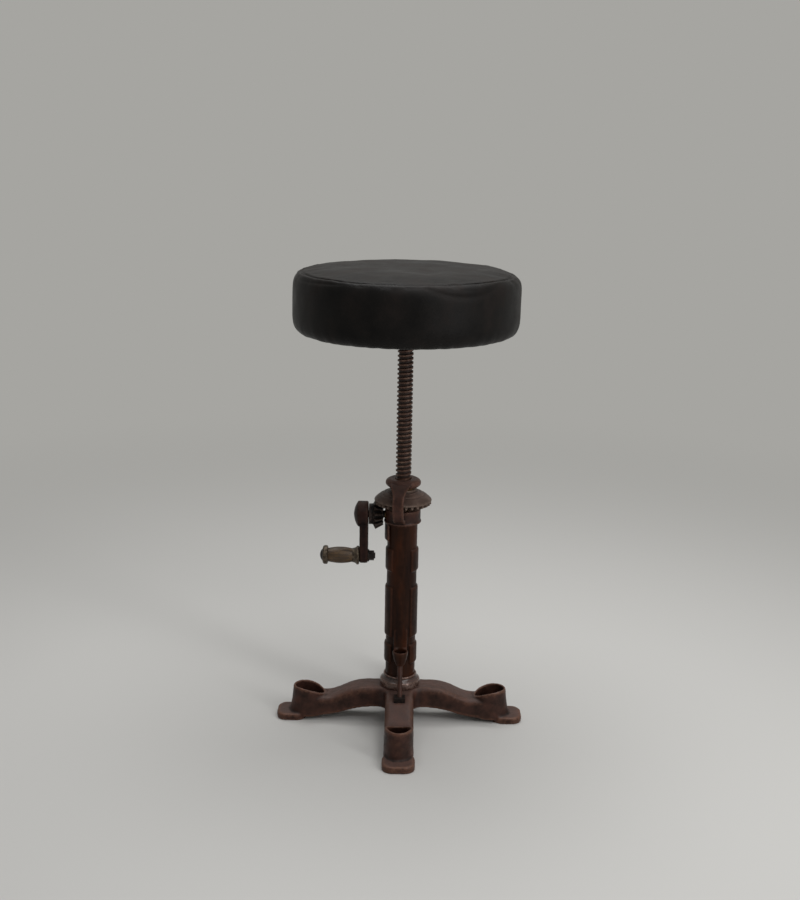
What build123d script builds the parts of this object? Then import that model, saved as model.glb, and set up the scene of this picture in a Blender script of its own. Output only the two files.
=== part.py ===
from build123d import *
import os
from math import acos, atan2, cos, hypot, pi, radians, sin, tan

# Crank-up stool, in millimetres: +Z up, floor at Z = 0, pillar on the Z axis, front towards -Y.
# The crank turns a bevel pinion, the pinion turns a bevel gear, and the nut in that gear lifts the screw.

# Clearances
RUNNING_FIT = 0.05
SLIDE_GAP = 0.3
SEAT_GAP = 0.2
EDGE_BREAK = 1.5
PIN_SINK = 0.5
JOIN = 1.0
PICK_MARGIN = 1.0

# Base casting
FOOT_REACH = 206.0
LEG_WIDTH = 47.0
LEG_EDGE_RADIUS = 9.0
CROTCH_RADIUS = 14.0
HUB_TOP = 60.0
HUB_BOTTOM = 26.0
HUB_FLAT = 52.0
ARCH_TOP_PULLS = (90.0, 100.0)
ARCH_UNDER_PULLS = (95.0, 90.0)
ARCH_UNDER_FLAT = 45.0
NECK_REACH = 126.0
NECK_TOP = 40.0
NECK_BOTTOM = 8.5
PAD_WIDTH = 52.0
PAD_THICKNESS = 11.0
PAD_LENGTH = 50.0
PAD_CORNER_RADIUS = 17.0
PAD_EDGE_RADIUS = 3.0

# Upturned cup at the end of each leg
CUP_REACH = 151.5
CUP_HALF_LENGTH = 27.0
CUP_HALF_WIDTH = 22.5
CUP_FLARE = 6.0
CUP_LEAN = 1.5
CUP_WALL = 4.5
CUP_FLOOR = 19.0
CUP_RIM_OUTER = 54.5
CUP_RIM_SAG = 2.0
CUP_RIM_DROP = 14.0
CUP_RIM_RADIUS = 1.5
CUP_SPARE = 12.0

# Bolt that holds the pillar in the base
BOLT_RADIUS = 6.0
BOLT_HEAD_ACROSS = 19.0
BOLT_HEAD_HEIGHT = 7.5
BOLT_GRIP = 32.0
WASHER_RADIUS = 14.0
WASHER_THICKNESS = 2.5
COUNTERBORE_DEPTH = 8.0

# Pillar
COLUMN_RADIUS = 24.5
COLUMN_LENGTH = 285.0
COLUMN_BORE_RADIUS = 16.5
COLUMN_SPIGOT_RADIUS = 18.0
COLUMN_SPIGOT_LENGTH = 20.0
PANEL_RELIEF = 2.6
PANEL_SPAN = 108.0
PANEL_CHAMFER = 1.4
PANEL_STARTS = (43.0, 90.0, 204.0)
PANEL_HEIGHTS = (34.0, 87.0, 38.0)

# Moulded ring round the pillar's foot
RING_RADIUS = 33.6
RING_HEIGHT = 21.0
RING_BELLY = 11.5
RING_HOLLOW_RADIUS = 28.4
RING_NECK_RADIUS = 26.4
RING_BEAD = 3.2
RING_LIP = 1.4

# Cup-shaped lugs on the pillar, and the stays that run from them to the legs
LUG_REACH = 40.0
LUG_RADIUS = 12.8
LUG_POCKET_RADIUS = 9.6
LUG_POCKET_DEPTH = 13.0
LUG_HEIGHT = 25.5
LUG_TOP_ABOVE_HUB = 75.0
LUG_COVE = 30.0
LUG_WEB = 22.0
LUG_LIP = 3.0
LUG_BELLY = 14.0
LUG_SWEEP_OUT = 1.6
LUG_SWEEP_UP = 10.8
LUG_TIP_WALL = 2.5
STAY_RADIUS = 4.0
STAY_FOOT_REACH = 65.0
STAY_SOCKET = 9.0
BLOCK_WIDTH = 18.0
BLOCK_HEIGHT = 7.0
BLOCK_SEAT_DEPTH = 2.5

# Gear head on top of the pillar
HEAD_RADIUS = 29.0
HEAD_HEIGHT = 23.0
HEAD_BEAD = 2.0
HEAD_SPIGOT_RADIUS = 20.0
HEAD_SPIGOT_LENGTH = 10.0
APRON_HEIGHT = 33.0
APRON_SPAN = 70.0
APRON_CHAMFER = 5.0
COLLAR_RADIUS = 28.8
COLLAR_HEIGHT = 13.5
COLLAR_EDGE = 3.0
STRAP_WIDTH = 18.0
STRAP_THICKNESS = 5.0
STRAP_FLARE = 36.0
STRAP_CLEARANCE = 2.2
STRAP_ROOT = 24.0
STRAP_FOOT = 4.0
STRAP_TURN = 9.0
SET_SCREW_RADIUS = 3.0
SET_SCREW_ANGLES = (60.0, 120.0)

# Bevel gears
CRANK_ABOVE_HEAD = 12.0
MODULE = 3.25
GEAR_TEETH = 28
PINION_TEETH = 14
PRESSURE_ANGLE = radians(20)
ADDENDUM = 0.8 * MODULE
DEDENDUM = 1.05 * MODULE
BACKLASH = 0.5
FACE_WIDTH = 15.0
TOOTH_SINK = 1.2
FLANK_STEPS = 4
THRUST_THICKNESS = 2.5
GEAR_HUB_RADIUS = 22.0
GEAR_HUB_STEP = 1.0
GEAR_NECK = 4.0
GEAR_HUB_LENGTH = 31.8
GEAR_RIM_RADIUS = 46.6
GEAR_RIM_THICKNESS = 2.0
GEAR_RIM_LIP = 1.4
DOME_SHOULDER_RADIUS = 36.0
DOME_SHOULDER_HEIGHT = 35.5
NUT_WALL = 4.5

# Crank
SHAFT_RADIUS = 6.0
SHAFT_CLEAR = 2.5
SHAFT_SINK = 1.0
BUSH_WALL = 2.0
PINION_HUB_RADIUS = 17.0
PINION_HUB_END = 55.0
PINION_FACE = 1.0
PINION_BACK = 1.5
CRANK_GAP = 1.0
CRANK_HUB_RADIUS = 21.0
CRANK_HUB_LENGTH = 18.0
CRANK_DOME = 5.5
CRANK_THROW = 71.5
ARM_THICKNESS = 14.0
ARM_HUB_WIDTH = 32.0
ARM_TIP_WIDTH = 25.0
ARM_EDGE_RADIUS = 3.0

# Handle
SPINDLE_RADIUS = 5.0
SPINDLE_PROUD = 2.0
INNER_FERRULE_LENGTH = 11.0
INNER_FERRULE_RADIUS = 15.5
BELL_RIM = 3.8
BELL_WAIST = 3.0
BELL_HOLLOW = 1.8
BELL_LIP = 0.8
BARREL_LENGTH = 40.0
BARREL_RADIUS = 13.5
BARREL_END_RADIUS = 11.0
OUTER_FERRULE_LENGTH = 9.0
OUTER_FERRULE_RADIUS = 15.5
FERRULE_ROUND = 4.0
SPINDLE_HEAD_RADIUS = 10.0
SPINDLE_HEAD_HEIGHT = 4.2
NUT_ACROSS = 15.0
NUT_HEIGHT = 8.0
SPINDLE_WASHER_RADIUS = 10.0
SPINDLE_WASHER_THICKNESS = 2.0

# Lifting screw
SCREW_RADIUS = 12.7
SCREW_SHOWN = 218.5
LIFT_UP = 40.0
LIFT_DOWN = 200.0
STOP_GAP = 0.5
BOTTOM_GAP = 2.0
SHOE_HEIGHT = 16.0
SHOE_KEY_REACH = 19.0
SHOE_KEY_WIDTH = 8.0
SHOE_SPIGOT_RADIUS = 8.0
PIN_RADIUS = 2.0

# Seat
BOARD_RADIUS = 163.0
SEAT_OVERHANG = 15.5
SEAT_CROWN = 83.0
SEAT_CROWN_RISE = 5.4
SEAT_TOP_EDGE = 15.6
SEAT_SHOULDER = 13.5
SEAT_HIGH_LEAN = 1.0
SEAT_LOW_LEAN = 0.5
SEAT_LOWER_EDGE = 20.0
SEAT_TUCK_IN = 3.2
SEAT_TUCK_HEIGHT = 8.4
BOARD_THICKNESS = 14.5
LEATHER = 2.3
HEM_WIDTH = 17.0
FLANGE_RADIUS = 62.0
FLANGE_THICKNESS = 8.0
FLANGE_HUB_RADIUS = 23.0
FLANGE_HUB_HEIGHT = 13.5
SEAT_SCREW_CIRCLE = 48.0
SEAT_SCREW_COUNT = 4
SEAT_SCREW_RADIUS = 2.4
SEAT_SCREW_HEAD_RADIUS = 5.0
SEAT_SCREW_HEAD_HEIGHT = 3.0
SEAT_SCREW_GRIP = 11.0

# Heights, stacked from the floor up
HEAD_BOTTOM = HUB_TOP + COLUMN_LENGTH
HEAD_TOP = HEAD_BOTTOM + HEAD_HEIGHT
GEAR_BOTTOM = HEAD_TOP + THRUST_THICKNESS
GEAR_TOP = GEAR_BOTTOM + GEAR_HUB_LENGTH
COLLAR_BOTTOM = GEAR_TOP + SEAT_GAP + THRUST_THICKNESS
COLLAR_TOP = COLLAR_BOTTOM + COLLAR_HEIGHT
FLANGE_BOTTOM = COLLAR_TOP + SCREW_SHOWN
BOARD_BOTTOM = FLANGE_BOTTOM + FLANGE_HUB_HEIGHT + FLANGE_THICKNESS
BOARD_TOP = BOARD_BOTTOM + BOARD_THICKNESS
SEAT_TOP = BOARD_TOP + SEAT_CROWN
SHOE_TOP = HEAD_BOTTOM - HEAD_SPIGOT_LENGTH - STOP_GAP - LIFT_UP
SHOE_BOTTOM = SHOE_TOP - SHOE_HEIGHT
BORE_FLOOR = SHOE_BOTTOM - LIFT_DOWN - BOTTOM_GAP
LUG_TOP = HUB_TOP + LUG_TOP_ABOVE_HUB
SEAT_RADIUS = BOARD_RADIUS + SEAT_OVERHANG

# Both bevel gears' cones meet in one point on the pillar's axis, at the crank's height
CRANK_HEIGHT = HEAD_BOTTOM + CRANK_ABOVE_HEAD
GEAR_PITCH_RADIUS = MODULE * GEAR_TEETH / 2
PINION_PITCH_RADIUS = MODULE * PINION_TEETH / 2
CONE_LENGTH = hypot(GEAR_PITCH_RADIUS, PINION_PITCH_RADIUS)
GEAR_CONE = atan2(GEAR_PITCH_RADIUS, PINION_PITCH_RADIUS)
PINION_CONE = atan2(PINION_PITCH_RADIUS, GEAR_PITCH_RADIUS)
OUTWARD = Vector(-1, 0, 0)
HEAD_FRAME = Plane(origin=(0, 0, 0), x_dir=OUTWARD, z_dir=(0, 0, 1))
GEAR_FRAME = Plane(origin=(0, 0, CRANK_HEIGHT), x_dir=OUTWARD, z_dir=(0, 0, 1))
CRANK_FRAME = Plane(origin=(0, 0, CRANK_HEIGHT), x_dir=(0, 0, 1), z_dir=OUTWARD)
HANDLE_FRAME = CRANK_FRAME * Pos(-CRANK_THROW, 0, 0)

# Stations along the crank's axis, from the pillar's axis outwards
SHAFT_START = SCREW_RADIUS + SHAFT_CLEAR
BUSH_END = HEAD_RADIUS
ARM_START = PINION_HUB_END + CRANK_GAP
ARM_END = ARM_START + ARM_THICKNESS
CRANK_HUB_END = ARM_START + CRANK_HUB_LENGTH
SHAFT_END = CRANK_HUB_END - SHAFT_SINK
INNER_FERRULE_START = ARM_END + SLIDE_GAP
BARREL_START = INNER_FERRULE_START + INNER_FERRULE_LENGTH
BARREL_END = BARREL_START + BARREL_LENGTH
OUTER_FERRULE_END = BARREL_END + OUTER_FERRULE_LENGTH


def turned(outline, arc=360):
    """A solid turned about Z from an outline of (radius, height) edges."""
    return revolve(Plane.XZ * make_face(outline), Axis.Z, revolution_arc=arc)


def turned_ring(inner, outer, low, high):
    """A plain washer or bush on the Z axis."""
    return turned(Polyline((inner, low), (outer, low), (outer, high), (inner, high), close=True))


def rod(radius, low, high):
    """A plain round bar on the Z axis."""
    return Pos(0, 0, low) * Cylinder(radius, high - low, align=(Align.CENTER, Align.CENTER, Align.MIN))


def hexagon(across, low, high):
    """A hexagonal prism on the Z axis, sized across its flats."""
    return Pos(0, 0, low) * extrude(RegularPolygon(across / 2, 6, major_radius=False), high - low)


def dome(radius, edge, crown):
    """A ball-shaped cap's outline, from its edge at a height to its crown on the Z axis."""
    rise = crown - edge
    ball = (radius**2 + rise**2) / (2 * rise)
    half = atan2(radius, ball - rise) / 2
    return ThreePointArc((radius, edge), (ball * sin(half), crown - ball + ball * cos(half)), (0, crown))


def sunk_end(surface, clearance):
    """Where a pin or headless screw ends, a little below a surface. Its hole, with clearance, runs out."""
    return surface + PIN_SINK if clearance else surface - PIN_SINK


def around(shape, count, start=0):
    """Copies of a shape, evenly spaced about Z."""
    return [Rot(0, 0, start + 360 * i / count) * shape for i in range(count)]


# Base


def stay_frame(side):
    """A frame on a stay's axis, from its foot on the leg up to the lug. side is -1 in front, 1 behind."""
    foot = Vector(0, side * STAY_FOOT_REACH, HUB_TOP)
    top = Vector(0, side * LUG_REACH, LUG_TOP - LUG_HEIGHT)
    return Plane(origin=foot, x_dir=(1, 0, 0), z_dir=top - foot)


def stay_length():
    """From the leg's top to the lug's lower end."""
    return hypot(STAY_FOOT_REACH - LUG_REACH, LUG_TOP - LUG_HEIGHT - HUB_TOP)


def stay_rod(side, clearance=0.0):
    """A stay's round bar, let into the leg and the lug by the depth of their sockets."""
    bar = rod(STAY_RADIUS + clearance, -STAY_SOCKET - clearance, stay_length() + STAY_SOCKET + clearance)
    return stay_frame(side) * bar


def stay_block(side, clearance=0.0):
    """A square nut on a leg, sunk a little in its seat, bored for the slanted stay."""
    block = Box(
        BLOCK_WIDTH + 2 * clearance,
        BLOCK_WIDTH + 2 * clearance,
        BLOCK_HEIGHT,
        align=(Align.CENTER, Align.CENTER, Align.MIN),
    )
    return Pos(0, side * STAY_FOOT_REACH, HUB_TOP - BLOCK_SEAT_DEPTH) * block


def legs():
    """Four legs: an arched section turned about Z, trimmed to a cross with rounded inner corners."""
    top_pulls = zip(ARCH_TOP_PULLS, (HUB_TOP, NECK_TOP))
    under_pulls = zip(ARCH_UNDER_PULLS, (NECK_BOTTOM, HUB_BOTTOM))
    section = [
        Polyline((ARCH_UNDER_FLAT, HUB_BOTTOM), (0, HUB_BOTTOM), (0, HUB_TOP), (HUB_FLAT, HUB_TOP)),
        Bezier((HUB_FLAT, HUB_TOP), *top_pulls, (NECK_REACH, NECK_TOP)),
        Polyline((NECK_REACH, NECK_TOP), (CUP_REACH, NECK_TOP), (CUP_REACH, NECK_BOTTOM)),
        Bezier((CUP_REACH, NECK_BOTTOM), *under_pulls, (ARCH_UNDER_FLAT, HUB_BOTTOM)),
    ]
    arch = turned(section)
    bar = Rectangle(2 * FOOT_REACH, LEG_WIDTH)
    cross = bar + Rot(0, 0, 90) * bar
    corners = cross.vertices().sort_by(lambda v: v.center().length)[:4]
    cross = fillet(corners, CROTCH_RADIUS)
    spider = arch & extrude(cross, 2 * HUB_TOP)
    top_edges = []
    for edge in spider.edges():
        middle = edge.center()
        reach = hypot(middle.X, middle.Y)
        if middle.Z > NECK_TOP - PICK_MARGIN and LEG_WIDTH / 2 < reach < CUP_REACH - PICK_MARGIN:
            top_edges.append(edge)
    return fillet(top_edges, LEG_EDGE_RADIUS)


def cup_form(inset, low, high):
    """An oval cup that narrows upwards, as a loft between two ovals. inset is taken off all round."""
    flare = CUP_FLARE - inset / 4
    ovals = []
    middle = (low + high) / 2
    for height, wider, shift in ((low, flare, CUP_LEAN), (middle, flare / 4, CUP_LEAN / 3), (high, 0, 0)):
        oval = Ellipse(CUP_HALF_LENGTH + wider - inset, CUP_HALF_WIDTH + wider / 3 - inset)
        ovals.append(Pos(CUP_REACH + shift, 0, height) * oval)
    return loft(ovals)


def cup_hollow():
    """The inside of a cup, open past its rim."""
    return cup_form(CUP_WALL, CUP_FLOOR, CUP_RIM_OUTER + 2 * CUP_SPARE)


def above_rim():
    """All that is above a cup's rim, which is level outside and falls towards the leg's top inside."""
    outer = (CUP_REACH + CUP_HALF_LENGTH, CUP_RIM_OUTER)
    middle = (CUP_REACH, CUP_RIM_OUTER - CUP_RIM_SAG)
    inner = (CUP_REACH - CUP_HALF_LENGTH, CUP_RIM_OUTER - CUP_RIM_DROP)
    arc = ThreePointArc(outer, middle, inner)
    start = arc @ 0 - (arc % 0) * CUP_HALF_LENGTH
    end = arc @ 1 + (arc % 1) * CUP_HALF_LENGTH
    high = 2 * CUP_RIM_OUTER
    outline = [
        Line(start, arc @ 0),
        arc,
        Line(arc @ 1, end),
        Polyline((end.X, end.Y), (end.X, high), (start.X, high), (start.X, start.Y)),
    ]
    return extrude(Plane.XZ * make_face(outline), 2 * CUP_HALF_LENGTH, both=True)


def foot():
    """One leg end: a rounded pad with a hollow cup on it, cut off along its rim, which is rounded."""
    pad = Pos(FOOT_REACH - PAD_LENGTH / 2, 0) * RectangleRounded(PAD_LENGTH, PAD_WIDTH, PAD_CORNER_RADIUS)
    plate = extrude(pad, PAD_THICKNESS)
    plate = fillet(plate.faces().sort_by(Axis.Z)[-1].edges(), PAD_EDGE_RADIUS)
    cup = plate + cup_form(0, PAD_THICKNESS / 2, CUP_RIM_OUTER + CUP_SPARE) - above_rim() - cup_hollow()
    rim = max(cup.faces(), key=lambda face: face.center().Z)
    return fillet(rim.edges(), CUP_RIM_RADIUS)


def base_casting():
    """Legs, pads and cups in one casting, bored for the pillar, its bolt and the stays."""
    casting = legs() - around(cup_hollow(), 4)
    casting = casting + around(foot(), 4)
    casting = casting - rod(COLUMN_SPIGOT_RADIUS + RUNNING_FIT, HUB_TOP - COLUMN_SPIGOT_LENGTH, HUB_TOP)
    casting = casting - rod(BOLT_RADIUS + SLIDE_GAP, 0, HUB_TOP)
    casting = casting - rod(WASHER_RADIUS + SLIDE_GAP, 0, HUB_BOTTOM + COUNTERBORE_DEPTH)
    for side in (-1, 1):
        casting = casting - stay_rod(side, RUNNING_FIT) - stay_block(side, RUNNING_FIT)
    return casting


def base_bolt():
    """Hexagon bolt from below the base up into the pillar."""
    seat = HUB_BOTTOM + COUNTERBORE_DEPTH - WASHER_THICKNESS
    head = hexagon(BOLT_HEAD_ACROSS, seat - BOLT_HEAD_HEIGHT, seat)
    return head + rod(BOLT_RADIUS, seat, seat + WASHER_THICKNESS + BOLT_GRIP)


def base_washer():
    """Washer between the bolt's head and the base."""
    seat = HUB_BOTTOM + COUNTERBORE_DEPTH
    return turned_ring(BOLT_RADIUS + SLIDE_GAP, WASHER_RADIUS, seat - WASHER_THICKNESS, seat)


def foot_ring():
    """Moulded ring: a round belly, a hollow neck and a bead, turned over the pillar."""
    bore = COLUMN_RADIUS + RUNNING_FIT
    foot_edge = RING_RADIUS - RING_LIP
    belly_top = HUB_TOP + RING_BELLY
    bead_high = HUB_TOP + RING_HEIGHT
    bead_low = bead_high - RING_BEAD
    hollow = (belly_top + bead_low) / 2
    outline = [
        Line((bore, HUB_TOP), (foot_edge, HUB_TOP)),
        ThreePointArc((foot_edge, HUB_TOP), (RING_RADIUS, HUB_TOP + RING_BELLY / 2), (foot_edge, belly_top)),
        ThreePointArc((foot_edge, belly_top), (RING_HOLLOW_RADIUS, hollow), (RING_NECK_RADIUS, bead_low)),
        ThreePointArc(
            (RING_NECK_RADIUS, bead_low),
            (RING_NECK_RADIUS + RING_LIP, (bead_low + bead_high) / 2),
            (RING_NECK_RADIUS, bead_high),
        ),
        Polyline((RING_NECK_RADIUS, bead_high), (bore, bead_high), (bore, HUB_TOP)),
    ]
    return turned(outline)


# Pillar


def panel(start, height):
    """One raised panel on the pillar's side, with chamfered ends, centred on +X."""
    low = HUB_TOP + start
    high = low + height
    inner = COLUMN_RADIUS - JOIN
    outer = COLUMN_RADIUS + PANEL_RELIEF
    rise = PANEL_RELIEF
    outline = Polyline(
        (inner, low),
        (outer - rise, low),
        (outer, low + PANEL_CHAMFER),
        (outer, high - PANEL_CHAMFER),
        (outer - rise, high),
        (inner, high),
        close=True,
    )
    return Rot(0, 0, -PANEL_SPAN / 2) * turned(outline, PANEL_SPAN)


def lug():
    """The front lug: a bowl that tapers down to the stay, a web to the pillar and a hollow sweep above."""
    low = LUG_TOP - LUG_HEIGHT
    tip = STAY_RADIUS + LUG_TIP_WALL
    lip = LUG_TOP - LUG_LIP
    bowl = [
        Line((0, low), (tip, low)),
        ThreePointArc((tip, low), (LUG_RADIUS - EDGE_BREAK, low + LUG_BELLY), (LUG_RADIUS, lip)),
        Polyline((LUG_RADIUS, lip), (LUG_RADIUS, LUG_TOP), (0, LUG_TOP), (0, low)),
    ]
    sweep_top = LUG_TOP + LUG_COVE
    back = LUG_REACH - LUG_POCKET_RADIUS
    root = COLUMN_RADIUS - JOIN / 2
    mid_wall = (COLUMN_RADIUS + COLUMN_BORE_RADIUS) / 2
    middle = (COLUMN_RADIUS + LUG_SWEEP_OUT, LUG_TOP + LUG_SWEEP_UP)
    web = [
        ThreePointArc((root, sweep_top), middle, (back, LUG_TOP)),
        Polyline(
            (back, LUG_TOP),
            (LUG_REACH, LUG_TOP),
            (LUG_REACH, low + LUG_BELLY),
            (mid_wall, low),
            (mid_wall, sweep_top),
            (root, sweep_top),
        ),
    ]
    web_plane = Plane(origin=(0, 0, 0), x_dir=(0, -1, 0), z_dir=(-1, 0, 0))
    rib = extrude(web_plane * make_face(web), LUG_WEB / 2, both=True)
    pocket = rod(LUG_POCKET_RADIUS, LUG_TOP - LUG_POCKET_DEPTH, LUG_TOP + LUG_COVE)
    return Pos(0, -LUG_REACH, 0) * turned(bowl) + rib - Pos(0, -LUG_REACH, 0) * pocket


def column():
    """Bored pillar with side panels, front and back lugs, two key grooves and a spigot at the foot."""
    pillar = rod(COLUMN_RADIUS, HUB_TOP, HEAD_BOTTOM)
    pillar = pillar + rod(COLUMN_SPIGOT_RADIUS, HUB_TOP - COLUMN_SPIGOT_LENGTH, HUB_TOP)
    for start, height in zip(PANEL_STARTS, PANEL_HEIGHTS):
        pillar = pillar + around(panel(start, height), 2)
    pillar = pillar + around(lug(), 2)
    groove = Box(
        2 * (SHOE_KEY_REACH + 2 * SLIDE_GAP),
        SHOE_KEY_WIDTH + 2 * SLIDE_GAP,
        HEAD_BOTTOM - BORE_FLOOR,
        align=(Align.CENTER, Align.CENTER, Align.MIN),
    )
    pillar = pillar - rod(COLUMN_BORE_RADIUS, BORE_FLOOR, HEAD_BOTTOM) - Pos(0, 0, BORE_FLOOR) * groove
    pillar = pillar - rod(HEAD_SPIGOT_RADIUS + RUNNING_FIT, HEAD_BOTTOM - HEAD_SPIGOT_LENGTH, HEAD_BOTTOM)
    thread_end = HUB_BOTTOM + COUNTERBORE_DEPTH + BOLT_GRIP + SLIDE_GAP
    pillar = pillar - rod(BOLT_RADIUS + RUNNING_FIT, 0, thread_end)
    for side in (-1, 1):
        pillar = pillar - stay_rod(side, RUNNING_FIT)
    for screw in head_set_screws(RUNNING_FIT):
        pillar = pillar - screw
    return pillar


# Gear head


def head_set_screws(clearance=0.0):
    """Two headless screws through the pillar's wall, which bear on the head's spigot from behind."""
    outer = sunk_end(COLUMN_RADIUS, clearance)
    screw = rod(SET_SCREW_RADIUS + clearance, HEAD_SPIGOT_RADIUS + RUNNING_FIT, outer)
    level = HEAD_BOTTOM - HEAD_SPIGOT_LENGTH / 2
    lying = Pos(0, 0, level) * Rot(0, 90, 0) * screw
    return [Rot(0, 0, angle) * lying for angle in SET_SCREW_ANGLES]


def strap():
    """A bowed strap from the head round the gear's rim up to the collar, on +Y of the head."""
    near = GEAR_RIM_RADIUS + STRAP_CLEARANCE
    far = near + STRAP_THICKNESS
    low = HEAD_BOTTOM + STRAP_FOOT
    high = COLLAR_TOP - STRAP_FOOT
    middle = (low + high) / 2
    inner_low = low + STRAP_THICKNESS
    inner_high = high - STRAP_THICKNESS
    bow = [
        ThreePointArc((STRAP_ROOT, low), (far, middle), (STRAP_ROOT, high)),
        Line((STRAP_ROOT, high), (STRAP_ROOT, inner_high)),
        ThreePointArc((STRAP_ROOT, inner_high), (near, middle), (STRAP_ROOT, inner_low)),
        Line((STRAP_ROOT, inner_low), (STRAP_ROOT, low)),
    ]
    side_plane = Plane(origin=(0, 0, 0), x_dir=(0, 1, 0), z_dir=(1, 0, 0))
    bent = extrude(side_plane * make_face(bow), STRAP_FLARE / 2, both=True)
    half = STRAP_WIDTH / 2
    wide = STRAP_FLARE / 2
    flare_low = COLLAR_BOTTOM - COLLAR_HEIGHT / 2
    waist = (half + (wide - half) / 4, COLLAR_BOTTOM)
    front = [
        Polyline((-half, flare_low), (-half, HEAD_BOTTOM), (half, HEAD_BOTTOM), (half, flare_low)),
        ThreePointArc((half, flare_low), waist, (wide, high)),
        Polyline((wide, high), (wide, COLLAR_TOP), (-wide, COLLAR_TOP), (-wide, high)),
        ThreePointArc((-wide, high), (-waist[0], waist[1]), (-half, flare_low)),
    ]
    return bent & extrude(Plane.XZ * make_face(front), 2 * far, both=True)


def gear_head():
    """Head barrel with its apron and bead, two straps and the collar over the gear, in one casting."""
    barrel = rod(HEAD_RADIUS, HEAD_BOTTOM, HEAD_TOP)
    barrel = barrel + rod(HEAD_SPIGOT_RADIUS, HEAD_BOTTOM - HEAD_SPIGOT_LENGTH, HEAD_BOTTOM)
    bead = Pos(0, 0, HEAD_BOTTOM + HEAD_BEAD) * Torus(HEAD_RADIUS - HEAD_BEAD / 4, HEAD_BEAD)
    apron_inner = COLUMN_RADIUS + SLIDE_GAP
    apron_low = HEAD_BOTTOM - APRON_HEIGHT
    apron_outline = Polyline(
        (apron_inner, HEAD_BOTTOM + HEAD_BEAD),
        (HEAD_RADIUS, HEAD_BOTTOM + HEAD_BEAD),
        (HEAD_RADIUS, apron_low + APRON_CHAMFER),
        (apron_inner, apron_low),
        close=True,
    )
    apron = Rot(0, 0, -APRON_SPAN / 2) * turned(apron_outline, APRON_SPAN)
    edge = COLLAR_RADIUS - COLLAR_EDGE
    edge_low = COLLAR_BOTTOM + COLLAR_EDGE / 2
    edge_high = COLLAR_TOP - COLLAR_EDGE / 2
    collar_outline = [
        Polyline((0, COLLAR_BOTTOM), (edge - COLLAR_EDGE, COLLAR_BOTTOM), (edge, edge_low)),
        ThreePointArc((edge, edge_low), (COLLAR_RADIUS, (edge_low + edge_high) / 2), (edge, edge_high)),
        Polyline((edge, edge_high), (edge - COLLAR_EDGE, COLLAR_TOP), (0, COLLAR_TOP), (0, COLLAR_BOTTOM)),
    ]
    head = barrel + bead + apron + turned(collar_outline)
    head = head + around(strap(), 2, start=-STRAP_TURN)
    head = head - rod(SCREW_RADIUS + SLIDE_GAP, 0, COLLAR_TOP)
    head = HEAD_FRAME * head
    return head - CRANK_FRAME * rod(SHAFT_RADIUS + BUSH_WALL + RUNNING_FIT, 0, 2 * HEAD_RADIUS)


def shaft_bush():
    """Bronze bearing of the crank shaft, in the head's wall."""
    outer = SHAFT_RADIUS + BUSH_WALL
    return CRANK_FRAME * turned_ring(SHAFT_RADIUS + RUNNING_FIT, outer, SHAFT_START + SHAFT_SINK, BUSH_END)


def thrust_washer():
    """Bronze washer on the head, which carries the gear and all that stands on it."""
    return turned_ring(SCREW_RADIUS + SLIDE_GAP, GEAR_HUB_RADIUS - GEAR_HUB_STEP, HEAD_TOP, GEAR_BOTTOM)


def collar_washer():
    """Bronze washer under the collar, just clear of the gear's hub."""
    low = COLLAR_BOTTOM - THRUST_THICKNESS
    return turned_ring(SCREW_RADIUS + SLIDE_GAP, GEAR_HUB_RADIUS - GEAR_HUB_STEP, low, COLLAR_BOTTOM)


# Bevel gears


def involute(angle):
    """The involute function, in radians."""
    return tan(angle) - angle


def bevel_tooth(teeth, cone):
    """One straight bevel tooth on +X: an involute outline on the back cone, tapered to the cones' apex."""
    flat_radius = MODULE * teeth / 2 / cos(cone)
    base_radius = flat_radius * cos(PRESSURE_ANGLE)
    half_tooth = (MODULE * pi / 2 - BACKLASH) / (2 * flat_radius)
    root = flat_radius - DEDENDUM
    depth = ADDENDUM + DEDENDUM

    def edge_point(radius):
        contact = acos(base_radius / max(radius, base_radius))
        half = half_tooth + involute(PRESSURE_ANGLE) - involute(contact)
        return radius * sin(half), radius * cos(half) - flat_radius

    radii = [root - TOOTH_SINK] + [root + depth * i / FLANK_STEPS for i in range(FLANK_STEPS + 1)]
    right = [edge_point(radius) for radius in radii]
    left = [(-x, y) for x, y in reversed(right)]
    along = Vector(sin(cone), 0, cos(cone))
    ends = []
    for distance in (CONE_LENGTH, CONE_LENGTH - FACE_WIDTH):
        scale = distance / CONE_LENGTH
        plane = Plane(origin=along * distance, x_dir=(0, 1, 0), z_dir=-along)
        outline = Polyline([(x * scale, y * scale) for x, y in right + left], close=True)
        ends.append(plane * make_face(outline))
    return loft(ends, ruled=True)


def root_points(cone):
    """(radius, height) of the root cone's inner and outer ends, from the apex."""
    outer = Vector(
        CONE_LENGTH * sin(cone) - DEDENDUM * cos(cone),
        CONE_LENGTH * cos(cone) + DEDENDUM * sin(cone),
    )
    inner = outer * (1 - FACE_WIDTH / CONE_LENGTH)
    return (inner.X, inner.Y), (outer.X, outer.Y)


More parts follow.
